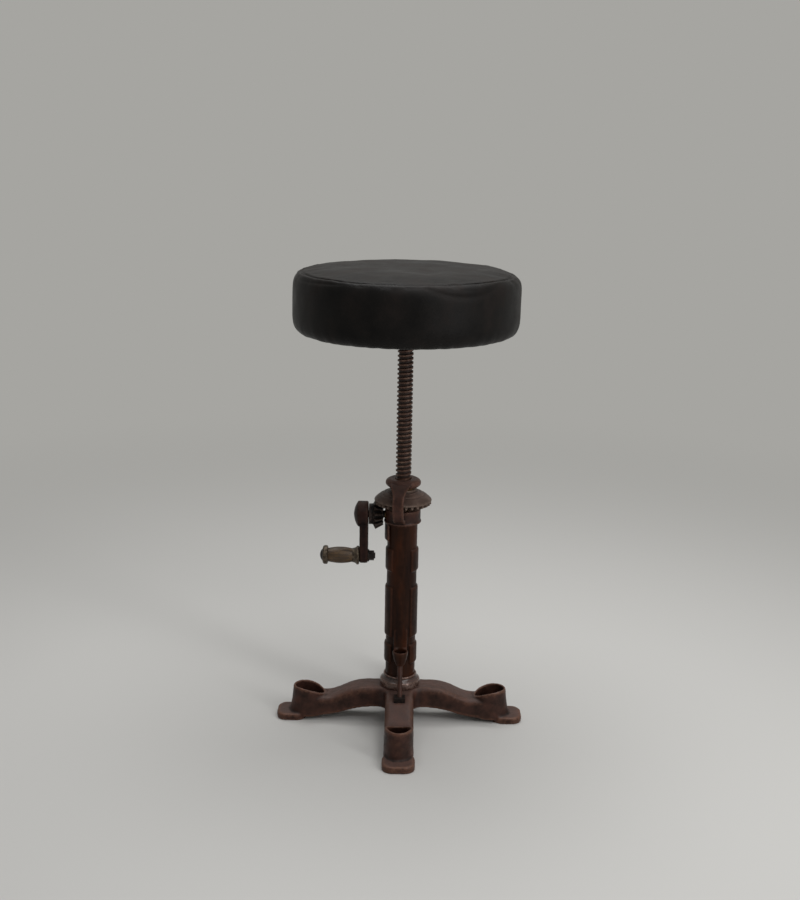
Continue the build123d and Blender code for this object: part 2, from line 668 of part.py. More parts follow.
def bevel_gear():
    """Crown gear: teeth below, a domed back with a rim over the teeth's ends, and a hub for its nut."""
    bore = SCREW_RADIUS + RUNNING_FIT + NUT_WALL
    low = GEAR_BOTTOM - CRANK_HEIGHT
    high = GEAR_TOP - CRANK_HEIGHT
    inner, outer = root_points(GEAR_CONE)
    rim_low = outer[1] - GEAR_RIM_LIP
    rim_high = rim_low + GEAR_RIM_THICKNESS
    hub_meets_dome = high - GEAR_NECK
    foot = GEAR_HUB_RADIUS - GEAR_HUB_STEP
    outline = [
        Polyline((bore, low), (foot, low), (foot, inner[1] - GEAR_HUB_STEP), inner, outer),
        Polyline(outer, (GEAR_RIM_RADIUS, rim_low), (GEAR_RIM_RADIUS, rim_high)),
        ThreePointArc(
            (GEAR_RIM_RADIUS, rim_high),
            (DOME_SHOULDER_RADIUS, DOME_SHOULDER_HEIGHT),
            (GEAR_HUB_RADIUS, hub_meets_dome),
        ),
        Polyline((GEAR_HUB_RADIUS, hub_meets_dome), (GEAR_HUB_RADIUS, high), (bore, high), (bore, low)),
    ]
    tooth = bevel_tooth(GEAR_TEETH, GEAR_CONE)
    return GEAR_FRAME * (turned(outline) + around(tooth, GEAR_TEETH, start=180 / GEAR_TEETH))


def gear_nut():
    """Bronze nut pressed into the gear, running on the screw."""
    return turned_ring(SCREW_RADIUS + RUNNING_FIT, SCREW_RADIUS + NUT_WALL, GEAR_BOTTOM, GEAR_TOP)


def bevel_pinion():
    """Pinion with a hub behind it, one tooth straight up in the gear's gap."""
    inner, outer = root_points(PINION_CONE)
    bore = SHAFT_RADIUS + RUNNING_FIT
    outline = Polyline(
        (bore, inner[1] - PINION_FACE),
        (inner[0] - 2 * PINION_FACE, inner[1] - PINION_FACE),
        inner,
        outer,
        (PINION_HUB_RADIUS, outer[1] + PINION_BACK),
        (PINION_HUB_RADIUS, PINION_HUB_END),
        (bore, PINION_HUB_END),
        close=True,
    )
    tooth = bevel_tooth(PINION_TEETH, PINION_CONE)
    pinion = turned(outline) + around(tooth, PINION_TEETH)
    return CRANK_FRAME * (pinion - cross_pin(RUNNING_FIT))


# Crank


def cross_pin(clearance=0.0):
    """The pin through the pinion's hub, across the crank's axis."""
    level = PINION_HUB_END - 2 * PIN_RADIUS
    reach = sunk_end(PINION_HUB_RADIUS, clearance)
    return Pos(0, 0, level) * Rot(90, 0, 0) * rod(PIN_RADIUS + clearance, -reach, reach)


def crank_shaft():
    """Shaft from inside the head through its bush, the pinion and the crank's hub."""
    return CRANK_FRAME * (rod(SHAFT_RADIUS, SHAFT_START, SHAFT_END) - cross_pin(RUNNING_FIT))


def pinion_pin():
    """Pin that locks the pinion to its shaft."""
    return CRANK_FRAME * cross_pin()


def crank_set_screw(clearance=0.0):
    """Headless screw in the crank's hub, from above down to the shaft."""
    level = (ARM_START + CRANK_HUB_END) / 2
    outer = sunk_end(CRANK_HUB_RADIUS, clearance)
    screw = rod(SET_SCREW_RADIUS + clearance, SHAFT_RADIUS + 2 * RUNNING_FIT, outer)
    return CRANK_FRAME * Pos(0, 0, level) * Rot(0, 90, 0) * screw


def crank_arm():
    """Round hub with a domed end, and an arm that tapers down to the handle's boss."""
    dome_edge = CRANK_HUB_END - EDGE_BREAK
    hub_outline = [
        Polyline(
            (0, ARM_START),
            (CRANK_HUB_RADIUS - EDGE_BREAK, ARM_START),
            (CRANK_HUB_RADIUS, ARM_START + EDGE_BREAK),
            (CRANK_HUB_RADIUS, dome_edge),
        ),
        dome(CRANK_HUB_RADIUS, dome_edge, CRANK_HUB_END + CRANK_DOME),
        Line((0, CRANK_HUB_END + CRANK_DOME), (0, ARM_START)),
    ]
    taper = Polyline(
        (0, ARM_HUB_WIDTH / 2),
        (-CRANK_THROW, ARM_TIP_WIDTH / 2),
        (-CRANK_THROW, -ARM_TIP_WIDTH / 2),
        (0, -ARM_HUB_WIDTH / 2),
        close=True,
    )
    blade = make_face(taper) + Pos(-CRANK_THROW, 0) * Circle(ARM_TIP_WIDTH / 2)
    arm = Pos(0, 0, ARM_START) * extrude(blade, ARM_THICKNESS)
    rims = arm.faces().filter_by(Axis.Z)
    long_edges = [e for face in rims for e in face.edges() if e.center().X < -PICK_MARGIN]
    arm = fillet(long_edges, ARM_EDGE_RADIUS)
    crank = arm + turned(hub_outline)
    crank = crank - rod(SHAFT_RADIUS + RUNNING_FIT, 0, SHAFT_END + RUNNING_FIT)
    crank = crank - Pos(-CRANK_THROW, 0, 0) * rod(SPINDLE_RADIUS + RUNNING_FIT, 0, 2 * ARM_END)
    return CRANK_FRAME * crank - crank_set_screw(RUNNING_FIT)


def handle_spindle():
    """Pin through the arm and the grip, with a domed head outside."""
    nut_end = ARM_START - SPINDLE_WASHER_THICKNESS - NUT_HEIGHT
    seat = OUTER_FERRULE_END + SLIDE_GAP
    head_outline = [
        Line((0, seat), (SPINDLE_HEAD_RADIUS, seat)),
        dome(SPINDLE_HEAD_RADIUS, seat, seat + SPINDLE_HEAD_HEIGHT),
        Line((0, seat + SPINDLE_HEAD_HEIGHT), (0, seat)),
    ]
    return HANDLE_FRAME * (rod(SPINDLE_RADIUS, nut_end - SPINDLE_PROUD, seat) + turned(head_outline))


def spindle_washer():
    """Washer on the arm's inner side."""
    low = ARM_START - SPINDLE_WASHER_THICKNESS
    return HANDLE_FRAME * turned_ring(SPINDLE_RADIUS + RUNNING_FIT, SPINDLE_WASHER_RADIUS, low, ARM_START)


def spindle_nut():
    """Hexagon nut on the spindle's inner end."""
    high = ARM_START - SPINDLE_WASHER_THICKNESS
    nut = hexagon(NUT_ACROSS, high - NUT_HEIGHT, high)
    return HANDLE_FRAME * (nut - rod(SPINDLE_RADIUS + RUNNING_FIT, 0, ARM_START))


def grip_barrel():
    """Turned wooden barrel."""
    bore = SPINDLE_RADIUS + 2 * RUNNING_FIT
    outline = [
        Line((bore, BARREL_START), (BARREL_END_RADIUS, BARREL_START)),
        ThreePointArc(
            (BARREL_END_RADIUS, BARREL_START),
            (BARREL_RADIUS, (BARREL_START + BARREL_END) / 2),
            (BARREL_END_RADIUS, BARREL_END),
        ),
        Line((BARREL_END_RADIUS, BARREL_END), (bore, BARREL_END)),
        Line((bore, BARREL_END), (bore, BARREL_START)),
    ]
    return HANDLE_FRAME * turned(outline)


def outer_ferrule():
    """Metal ferrule at the grip's outer end, rounded outwards."""
    bore = SPINDLE_RADIUS + 2 * RUNNING_FIT
    shoulder = OUTER_FERRULE_END - FERRULE_ROUND
    face_edge = OUTER_FERRULE_RADIUS - FERRULE_ROUND
    diagonal = FERRULE_ROUND * (1 - cos(pi / 4))
    outline = [
        Polyline(
            (bore, BARREL_END),
            (BARREL_END_RADIUS + EDGE_BREAK, BARREL_END),
            (OUTER_FERRULE_RADIUS, BARREL_END + EDGE_BREAK),
            (OUTER_FERRULE_RADIUS, shoulder),
        ),
        ThreePointArc(
            (OUTER_FERRULE_RADIUS, shoulder),
            (OUTER_FERRULE_RADIUS - diagonal, OUTER_FERRULE_END - diagonal),
            (face_edge, OUTER_FERRULE_END),
        ),
        Polyline((face_edge, OUTER_FERRULE_END), (bore, OUTER_FERRULE_END), (bore, BARREL_END)),
    ]
    return HANDLE_FRAME * turned(outline)


def inner_ferrule():
    """Metal ferrule next to the arm, flared like a bell."""
    bore = SPINDLE_RADIUS + 2 * RUNNING_FIT
    wide = INNER_FERRULE_START + BELL_RIM
    lip = BARREL_END_RADIUS + BELL_LIP
    outline = [
        Polyline(
            (bore, INNER_FERRULE_START),
            (INNER_FERRULE_RADIUS - EDGE_BREAK, INNER_FERRULE_START),
            (INNER_FERRULE_RADIUS, INNER_FERRULE_START + EDGE_BREAK),
            (INNER_FERRULE_RADIUS, wide),
        ),
        ThreePointArc(
            (INNER_FERRULE_RADIUS, wide),
            (BARREL_END_RADIUS + BELL_HOLLOW, wide + BELL_WAIST),
            (lip, BARREL_START),
        ),
        Polyline((lip, BARREL_START), (bore, BARREL_START), (bore, INNER_FERRULE_START)),
    ]
    return HANDLE_FRAME * turned(outline)


# Lift


def shoe_cross_pin(clearance=0.0):
    """The pin through the guide shoe and the screw's spigot."""
    level = SHOE_TOP - SHOE_HEIGHT / 2
    reach = sunk_end(COLUMN_BORE_RADIUS - 2 * SLIDE_GAP, clearance)
    return Pos(0, 0, level) * Rot(90, 0, 0) * rod(PIN_RADIUS + clearance, -reach, reach)


def flange_cross_pin(clearance=0.0):
    """The pin through the seat flange's hub and the screw."""
    level = FLANGE_BOTTOM + FLANGE_HUB_HEIGHT / 2
    reach = sunk_end(FLANGE_HUB_RADIUS, clearance)
    return Pos(0, 0, level) * Rot(0, 90, 0) * rod(PIN_RADIUS + clearance, -reach, reach)


def lift_screw():
    """Lifting screw at its outside diameter, with a spigot below for the guide shoe."""
    screw = rod(SCREW_RADIUS, SHOE_TOP, BOARD_BOTTOM - SEAT_GAP)
    screw = screw + rod(SHOE_SPIGOT_RADIUS, SHOE_BOTTOM, SHOE_TOP)
    return screw - shoe_cross_pin(RUNNING_FIT) - flange_cross_pin(RUNNING_FIT)


def guide_shoe():
    """Shoe with two keys that run in the pillar's grooves."""
    floor_up = (Align.CENTER, Align.CENTER, Align.MIN)
    keys = Box(2 * SHOE_KEY_REACH, SHOE_KEY_WIDTH, SHOE_HEIGHT, align=floor_up)
    shoe = rod(COLUMN_BORE_RADIUS - 2 * SLIDE_GAP, SHOE_BOTTOM, SHOE_TOP) + Pos(0, 0, SHOE_BOTTOM) * keys
    return shoe - rod(SHOE_SPIGOT_RADIUS + RUNNING_FIT, 0, SHOE_TOP) - shoe_cross_pin(RUNNING_FIT)


def seat_screw(clearance=0.0):
    """One wood screw up through the flange, its head below."""
    plate_low = BOARD_BOTTOM - FLANGE_THICKNESS
    shank = rod(SEAT_SCREW_RADIUS + clearance, plate_low, BOARD_BOTTOM + SEAT_SCREW_GRIP + clearance)
    head_outline = [
        Line((0, 0), (SEAT_SCREW_HEAD_RADIUS, 0)),
        dome(SEAT_SCREW_HEAD_RADIUS, 0, SEAT_SCREW_HEAD_HEIGHT),
        Line((0, SEAT_SCREW_HEAD_HEIGHT), (0, 0)),
    ]
    head = Pos(0, 0, plate_low) * Rot(180, 0, 0) * turned(head_outline)
    return Pos(SEAT_SCREW_CIRCLE, 0, 0) * (shank + head)


def seat_screws(clearance=0.0):
    """The wood screws, evenly spaced between the legs."""
    return around(seat_screw(clearance), SEAT_SCREW_COUNT, start=180 / SEAT_SCREW_COUNT)


def seat_flange():
    """Round plate with a hub, on top of the screw."""
    plate_low = BOARD_BOTTOM - FLANGE_THICKNESS
    flange = rod(FLANGE_HUB_RADIUS, FLANGE_BOTTOM, plate_low) + rod(FLANGE_RADIUS, plate_low, BOARD_BOTTOM)
    root = [e for e in flange.edges().filter_by(GeomType.CIRCLE) if abs(e.radius - FLANGE_HUB_RADIUS) < 0.01]
    flange = fillet([e for e in root if e.center().Z > FLANGE_BOTTOM + PICK_MARGIN], FLANGE_THICKNESS / 2)
    flange = flange - rod(SCREW_RADIUS + RUNNING_FIT, 0, BOARD_BOTTOM)
    return flange - flange_cross_pin(RUNNING_FIT) - seat_screws(RUNNING_FIT)


def seat_board():
    """Plywood disc under the cushion."""
    board = rod(BOARD_RADIUS, BOARD_BOTTOM, BOARD_TOP)
    return board - seat_screws(RUNNING_FIT)


def cushion_outline(inset):
    """The seat's side and top as edges from its lower edge to its middle, drawn in by inset."""
    low = BOARD_BOTTOM + inset / LEATHER * SEAT_GAP
    hem = BOARD_RADIUS + SEAT_GAP + LEATHER - inset
    side = SEAT_RADIUS - inset
    top = SEAT_TOP - inset
    side_low = BOARD_BOTTOM + SEAT_LOWER_EDGE
    side_high = SEAT_TOP - SEAT_CROWN_RISE - SEAT_TOP_EDGE
    foot = side - SEAT_LOW_LEAN
    head = side - SEAT_HIGH_LEAN
    edge_in = head - SEAT_SHOULDER
    edge_z = top - SEAT_CROWN_RISE
    round_share = 1 - cos(pi / 4)
    tuck = (side - SEAT_TUCK_IN, BOARD_BOTTOM + SEAT_TUCK_HEIGHT)
    turn = (head - SEAT_SHOULDER * round_share, edge_z - SEAT_TOP_EDGE * round_share)
    lower = ThreePointArc((hem, low), tuck, (foot, side_low))
    wall = ThreePointArc((foot, side_low), (side, (side_low + side_high) / 2), (head, side_high))
    shoulder = ThreePointArc((head, side_high), turn, (edge_in, edge_z))
    return [lower, wall, shoulder, dome(edge_in, edge_z, top)]


def seat_cover():
    """Leather over the foam and round the board, turned in below it as a hem."""
    outer = cushion_outline(0)
    inner = cushion_outline(LEATHER)
    hem_low = BOARD_BOTTOM - SEAT_GAP - LEATHER
    hem_high = BOARD_BOTTOM - SEAT_GAP
    hem_inner = BOARD_RADIUS - HEM_WIDTH
    outer_start = outer[0] @ 0
    inner_start = inner[0] @ 0
    middle = Line(inner[-1] @ 1, outer[-1] @ 1)
    hem = Polyline(
        (outer_start.X, outer_start.Y),
        (outer_start.X, hem_low),
        (hem_inner, hem_low),
        (hem_inner, hem_high),
        (inner_start.X, hem_high),
        (inner_start.X, inner_start.Y),
    )
    return turned(outer + inner + [middle, hem])


def seat_foam():
    """Foam block on the board, just inside the leather."""
    outline = cushion_outline(LEATHER + SEAT_GAP)
    top = outline[-1] @ 1
    start = outline[0] @ 0
    closing = Polyline((top.X, top.Y), (0, BOARD_BOTTOM), (start.X, BOARD_BOTTOM), (start.X, start.Y))
    block = turned(outline + [closing])
    return block - rod(BOARD_RADIUS + SEAT_GAP, 0, BOARD_TOP)


PARTS = {
    "base_casting": base_casting(),
    "base_bolt": base_bolt(),
    "base_washer": base_washer(),
    "foot_ring": foot_ring(),
    "column": column(),
    "stay_rods": [stay_rod(side) for side in (-1, 1)],
    "stay_blocks": [stay_block(side) - stay_rod(side, RUNNING_FIT) for side in (-1, 1)],
    "gear_head": gear_head(),
    "head_set_screws": head_set_screws(),
    "shaft_bush": shaft_bush(),
    "thrust_washer": thrust_washer(),
    "collar_washer": collar_washer(),
    "bevel_gear": bevel_gear(),
    "gear_nut": gear_nut(),
    "crank_shaft": crank_shaft(),
    "bevel_pinion": bevel_pinion(),
    "pinion_pin": pinion_pin(),
    "crank_arm": crank_arm(),
    "crank_set_screw": crank_set_screw(),
    "handle_spindle": handle_spindle(),
    "spindle_washer": spindle_washer(),
    "spindle_nut": spindle_nut(),
    "grip_barrel": grip_barrel(),
    "outer_ferrule": outer_ferrule(),
    "inner_ferrule": inner_ferrule(),
    "lift_screw": lift_screw(),
    "guide_shoe": guide_shoe(),
    "shoe_pin": shoe_cross_pin(),
    "seat_flange": seat_flange(),
    "flange_pin": flange_cross_pin(),
    "seat_screws": seat_screws(),
    "seat_board": seat_board(),
    "seat_foam": seat_foam(),
    "seat_cover": seat_cover(),
}

os.makedirs("parts", exist_ok=True)
for name, shape in PARTS.items():
    solids = shape if isinstance(shape, list) else [shape]
    export_step(Compound(children=[s for piece in solids for s in piece.solids()]), f"parts/{name}.step")
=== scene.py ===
from math import cos, pi, radians, sin, sqrt

import bmesh
import bpy
import numpy as np
from mathutils import Matrix, Vector, noise


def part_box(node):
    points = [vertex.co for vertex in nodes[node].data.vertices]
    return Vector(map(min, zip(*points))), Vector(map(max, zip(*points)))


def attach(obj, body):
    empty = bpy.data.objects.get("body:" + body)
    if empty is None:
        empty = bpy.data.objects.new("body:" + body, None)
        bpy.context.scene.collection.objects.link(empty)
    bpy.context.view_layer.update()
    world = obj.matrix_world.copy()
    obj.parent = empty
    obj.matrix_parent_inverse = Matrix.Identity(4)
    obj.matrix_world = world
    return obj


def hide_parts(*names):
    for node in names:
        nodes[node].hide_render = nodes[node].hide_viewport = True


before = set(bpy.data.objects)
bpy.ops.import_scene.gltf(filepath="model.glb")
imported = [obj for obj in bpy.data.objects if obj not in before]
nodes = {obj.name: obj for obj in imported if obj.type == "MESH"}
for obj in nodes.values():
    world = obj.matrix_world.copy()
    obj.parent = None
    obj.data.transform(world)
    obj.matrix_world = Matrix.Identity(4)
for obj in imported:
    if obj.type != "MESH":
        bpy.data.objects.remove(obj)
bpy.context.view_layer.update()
MM = 0.001

# Base: one grey-iron sand casting, four arched legs with a cup and a pad at each end.
# Painted brown long ago and since oiled and rubbed, so a dark rust patina is left,
# paler on the edges that shoes touch and nearly black where grease stays.
STAIN_WIDTH = 24 * MM
FLECK_WIDTH = 3.5 * MM
SAND_GRAIN = 1.2 * MM  # about twice as coarse as real moulding sand, so that it shows
UNEVEN_WIDTH = 7 * MM
RUB_REACH = 2.6 * MM
GROOVE_WIDTH = 1.3 * MM
GROOVE_DEPTH = 0.8 * MM
GROOVE_SLOPE = 0.3  # what faces up less than this gets no groove
MARKS = {  # where each mark starts, and how much further it is full: mm proud, mm sunk, share that faces up
    "edge": (0.22, 0.55),
    "dirt": (0.2, 0.8),
    "top": (0.45, 0.5),
}


def linear(code):
    """An sRGB hex colour as linear red, green, blue and alpha."""
    channels = [int(code[i : i + 2], 16) / 255 for i in (1, 3, 5)]
    return [c / 12.92 if c <= 0.04045 else ((c + 0.055) / 1.055) ** 2.4 for c in channels] + [1.0]


def add(tree, kind, sockets=None, stops=None, **settings):
    """A node with its settings, colour stops and sockets, each linked to an output or given a value."""
    node = tree.nodes.new(kind)
    for name, value in settings.items():
        setattr(node, name, value)
    for at, (position, code) in enumerate(stops or []):
        ramp = node.color_ramp.elements
        stop = ramp[at] if at < 2 else ramp.new(position)
        stop.position, stop.color = position, linear(code)
    for socket, value in (sockets or {}).items():
        if isinstance(value, bpy.types.NodeSocket):
            tree.links.new(value, node.inputs[socket])
        else:
            node.inputs[socket].default_value = value
    return node


def finish_named(name):
    """An empty material of that name, and its node tree."""
    made = bpy.data.materials.new(name)
    made.use_nodes = True
    made.node_tree.nodes.clear()
    return made, made.node_tree


def surfaced(tree, **sockets):
    """The principled surface of a finish, and its output."""
    values = {name.replace("_", " "): value for name, value in sockets.items()}
    shader = add(tree, "ShaderNodeBsdfPrincipled", values)
    add(tree, "ShaderNodeOutputMaterial", {"Surface": shader.outputs["BSDF"]})


def cast_iron(name, deep, body, warm, worn, gloss, bare, drawn=1.0, shine=0.16, dust_and_sheen=0.4):
    """Oiled cast iron: brown stains, drawn out upright, with dust and a painted grey sheen on what faces up,
    rubbed edges and greasy hollows.
    Gloss is its least roughness, and bare is how metallic its rubbed edges are."""
    made, tree = finish_named(name)
    place = add(tree, "ShaderNodeTexCoord").outputs["Object"]
    upright = add(tree, "ShaderNodeMapping", {"Vector": place, "Scale": (1, 1, 1 / drawn)}).outputs["Vector"]
    stain_size = {"Vector": upright, "Scale": 1 / STAIN_WIDTH, "Detail": 5, "Roughness": 0.62}
    stain = add(tree, "ShaderNodeTexNoise", stain_size).outputs["Fac"]
    fleck_size = {"Vector": place, "Scale": 1 / FLECK_WIDTH, "Detail": 4, "Roughness": 0.6}
    fleck = add(tree, "ShaderNodeTexNoise", fleck_size).outputs["Fac"]
    sand_size = {"Vector": place, "Scale": 1 / SAND_GRAIN, "Detail": 2}
    sand = add(tree, "ShaderNodeTexNoise", sand_size).outputs["Fac"]
    patina = add(tree, "ShaderNodeValToRGB", {"Fac": stain}, [(0.34, deep), (0.5, body), (0.68, warm)])
    edge, dirt, top = [add(tree, "ShaderNodeAttribute", attribute_name=mark).outputs["Fac"] for mark in MARKS]
    patches = {"Value": fleck, "From Min": 0.32, "From Max": 0.66, "To Min": 0.15, "To Max": 1.0}
    patchy = add(tree, "ShaderNodeMapRange", patches).outputs["Result"]
    rubbed = add(tree, "ShaderNodeMath", {0: edge, 1: patchy}, operation="MULTIPLY", use_clamp=True)
    rubbed = rubbed.outputs[0]
    # What faces up is greyed by dust and by a painted sheen, which stands in for the lamps' reflection on top
    # faces.
    dust_and_sheen_share = add(tree, "ShaderNodeMath", {0: top, 1: dust_and_sheen}, operation="MULTIPLY").outputs[0]
    colour = patina.outputs["Color"]
    for amount, over in ((dust_and_sheen_share, "#6a5650"), (rubbed, worn), (dirt, "#0d0908")):
        layers = {0: amount, 6: colour, 7: linear(over)}
        colour = add(tree, "ShaderNodeMix", layers, data_type="RGBA").outputs[2]
    polish = {"Value": fleck, "From Min": 0.3, "From Max": 0.7, "To Min": gloss, "To Max": gloss + 0.18}
    rough = add(tree, "ShaderNodeMapRange", polish).outputs["Result"]
    dulled = add(tree, "ShaderNodeMath", {0: dirt, 1: 0.2, 2: rough}, operation="MULTIPLY_ADD")
    metal = add(tree, "ShaderNodeMath", {0: rubbed, 1: bare}, operation="MULTIPLY")
    skin = add(tree, "ShaderNodeBump", {"Strength": 0.35, "Distance": 0.3 * MM, "Height": sand})
    surfaced(
        tree,
        Base_Color=colour,
        Roughness=dulled.outputs[0],
        Metallic=metal.outputs[0],
        Normal=skin.outputs["Normal"],
        Specular_IOR_Level=shine,
    )
    return made


def plain(piece):
    """Turns a piece's evaluated shape into its own plain mesh, with no modifiers left."""
    shape = piece.evaluated_get(bpy.context.evaluated_depsgraph_get())
    piece.data = bpy.data.meshes.new_from_object(shape)
    piece.modifiers.clear()
    return piece


def new_piece(name, mesh):
    """A piece at the origin with that mesh."""
    piece = bpy.data.objects.new(name, mesh)
    bpy.context.scene.collection.objects.link(piece)
    return piece


def points_of(mesh, what="co"):
    """A mesh's points, or its points' normals, as rows of x, y, z."""
    flat = np.empty(len(mesh.vertices) * 3, np.float32)
    if what == "co":
        mesh.vertices.foreach_get("co", flat)
    else:
        mesh.vertex_normals.foreach_get("vector", flat)
    return flat.reshape(-1, 3).astype(float)


def neighbours_mean(points, edges):
    """Each point moved to the middle of the points it shares an edge with."""
    count = len(points)
    total = np.empty_like(points)
    for axis in range(3):
        total[:, axis] = np.bincount(edges[:, 0], points[edges[:, 1], axis], count)
        total[:, axis] += np.bincount(edges[:, 1], points[edges[:, 0], axis], count)
    return total / np.bincount(edges.ravel(), minlength=count)[:, None]


def casting(node, name, body, finish, grain, soft, wander, rings=()):
    """A sand-cast copy of a CAD node: its corners softened, its faces a little uneven, and flat on the floor.
    Rings are the radii of grooves moulded in its top. What wears, what fouls, and what faces up for dust and
    painted sheen is marked."""
    solid = bmesh.new()
    solid.from_mesh(nodes[node].data)
    bmesh.ops.remove_doubles(solid, verts=solid.verts, dist=0.001 * MM)
    mesh = bpy.data.meshes.new(name)
    solid.to_mesh(mesh)
    solid.free()
    piece = new_piece(name, mesh)
    skin = piece.modifiers.new("skin", "REMESH")
    skin.mode = "VOXEL"
    skin.voxel_size = grain
    smooth = piece.modifiers.new("smooth", "SMOOTH")
    smooth.factor = 0.5
    smooth.iterations = soft
    mesh = plain(piece).data
    points, normals = points_of(mesh), points_of(mesh, "normal")
    uneven = np.array([noise.noise(Vector(p) / UNEVEN_WIDTH) for p in points])
    points += normals * (wander * uneven)[:, None]
    out = np.hypot(points[:, 0], points[:, 1])
    for ring in rings:
        groove = np.exp(-(((out - ring) / GROOVE_WIDTH) ** 2)) * (normals[:, 2] > GROOVE_SLOPE)
        points -= normals * (GROOVE_DEPTH * groove)[:, None]
    points[:, 2] = np.maximum(points[:, 2], 0)
    mesh.vertices.foreach_set("co", points.astype(np.float32).ravel())
    edges = np.empty(len(mesh.edges) * 2, np.int64)
    mesh.edges.foreach_get("vertices", edges)
    edges = edges.reshape(-1, 2)
    rubbed_down = points.copy()
    for _ in range(int((RUB_REACH / grain) ** 2 * 4) + 1):
        rubbed_down = neighbours_mean(rubbed_down, edges)
    proud = ((points - rubbed_down) * normals).sum(1) / MM
    amounts = {"edge": proud, "dirt": -proud, "top": normals[:, 2]}
    for label, (start, further) in MARKS.items():
        share = np.clip((amounts[label] - start) / further, 0, 1)
        mark = mesh.attributes.new(label, "FLOAT", "POINT")
        mark.data.foreach_set("value", share.astype(np.float32))
    mesh.shade_smooth()
    mesh.update()
    mesh.materials.append(finish)
    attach(piece, body)
    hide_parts(node)


rust_brown_iron = cast_iron(
    "oiled_rust_brown_cast_iron", deep="#25150f", body="#3b251e", warm="#4f3127",
    worn="#6a4b3d", gloss=0.36, bare=0.3, shine=0.2,
)
casting(
    "base_casting", "cast_base", "stand", rust_brown_iron,
    grain=1.6 * MM, soft=5, wander=0.3 * MM,
)


def coat(finish, *names):
    """Gives CAD nodes, whose shapes stay, that finish."""
    for name in names:
        nodes[name].data.materials.clear()
        nodes[name].data.materials.append(finish)


# Bolt and washer under the base: black mild steel, which draw the pillar down into its socket.
# Rolled and never polished, so they are dull, with a blue-black scale that browns in places.
SCALE_FLAKE = 5 * MM
black_steel, tree = finish_named("blackened_mild_steel")
place = add(tree, "ShaderNodeTexCoord").outputs["Object"]
flake_size = {"Vector": place, "Scale": 1 / SCALE_FLAKE, "Detail": 5, "Roughness": 0.6}
flake = add(tree, "ShaderNodeTexNoise", flake_size).outputs["Fac"]
stops = [(0.35, "#120f0f"), (0.6, "#2a201c"), (0.75, "#4a3328")]
scale_colour = add(tree, "ShaderNodeValToRGB", {"Fac": flake}, stops)
scale_rough = add(tree, "ShaderNodeMapRange", {"Value": flake, "To Min": 0.35, "To Max": 0.62})
scale_skin = add(tree, "ShaderNodeBump", {"Strength": 0.3, "Distance": 0.15 * MM, "Height": flake})
surfaced(
    tree,
    Base_Color=scale_colour.outputs["Color"],
    Roughness=scale_rough.outputs["Result"],
    Metallic=0.55,
    Normal=scale_skin.outputs["Normal"],
)
coat(black_steel, "base_bolt", "base_washer")

# Ring round the pillar's foot: turned from the same iron and worn bright by shoes,
# so it takes a sharper highlight than the castings beside it.
burnished_iron = cast_iron(
    "burnished_cast_iron", deep="#1f1311", body="#36231e", warm="#4b332b",
    worn="#7a6055", gloss=0.14, bare=0.6, shine=0.5,
)
casting(
    "foot_ring", "turned_foot_ring", "stand", burnished_iron,
    grain=0.9 * MM, soft=3, wander=0.12 * MM,
)

# Pillar: a bored casting with raised side panels and a bowl-like lug in front and behind.
# It has the base's brown patina, rubbed smoother along its front by hands.
pillar_iron = cast_iron(
    "hand_rubbed_cast_iron", deep="#170b07", body="#2c170d", warm="#432110",
    worn="#452b20", gloss=0.3, bare=0.2, drawn=6, shine=0.1,
)
casting("column", "cast_pillar", "stand", pillar_iron, grain=1.3 * MM, soft=3, wander=0.2 * MM)

# Stays: plain drawn bars, brown like the castings, which brace the legs from the pillar's lugs.
# Square black nuts hold them on the legs, and headless screws lock the gear head on the pillar.
coat(rust_brown_iron, "stay_rods")
coat(black_steel, "stay_blocks", "head_set_screws")

# Gear head: barrel, bowed straps and collar in one casting, which holds the gear and the crank's bearing.
# Oil from the gear has kept it dark, and dust and a painted sheen grey what faces up.
head_iron = cast_iron(
    "oil_dark_cast_iron", deep="#211411", body="#37241f", warm="#4b2f27",
    worn="#66493e", gloss=0.34, bare=0.35,
)
casting(
    "gear_head", "cast_gear_head", "stand", head_iron,
    grain=1.0 * MM, soft=4, wander=0.2 * MM,
)

# Bearings of the gear and of the crank's shaft: a bush, washers, a nut and a shoe turned from bronze.
# Old oil has browned them to a dull gold.
OIL_FILM = 6 * MM
bearing_bronze, tree = finish_named("oiled_bearing_bronze")
place = add(tree, "ShaderNodeTexCoord").outputs["Object"]
film = add(tree, "ShaderNodeTexNoise", {"Vector": place, "Scale": 1 / OIL_FILM, "Detail": 4}).outputs["Fac"]
stops = [(0.3, "#241a10"), (0.55, "#46331c"), (0.75, "#64492a")]
film_colour = add(tree, "ShaderNodeValToRGB", {"Fac": film}, stops)
film_rough = add(tree, "ShaderNodeMapRange", {"Value": film, "To Min": 0.24, "To Max": 0.5})
surfaced(tree, Base_Color=film_colour.outputs["Color"], Roughness=film_rough.outputs["Result"], Metallic=0.9)
coat(bearing_bronze, "shaft_bush", "thrust_washer", "collar_washer", "gear_nut", "guide_shoe")

# Bevel gear and pinion: cast with their teeth, whose tips are worn to paler, barer iron.
# Two rings are moulded in the gear's dome, and grease lies black between its teeth. The gear is painted
# lighter, as painted light on its dome, and the pinion near black, as painted shade under the dome.
DOME_RINGS = (27 * MM, 35 * MM)
# Painted light: the gear's colours are lighter than the other iron's, and stand in for the light on its dome.
gear_iron_painted_light = cast_iron(
    "greased_gear_iron_painted_light", deep="#33261f", body="#524239", warm="#68554b",
    worn="#6f5e54", gloss=0.32, bare=0.35,
)
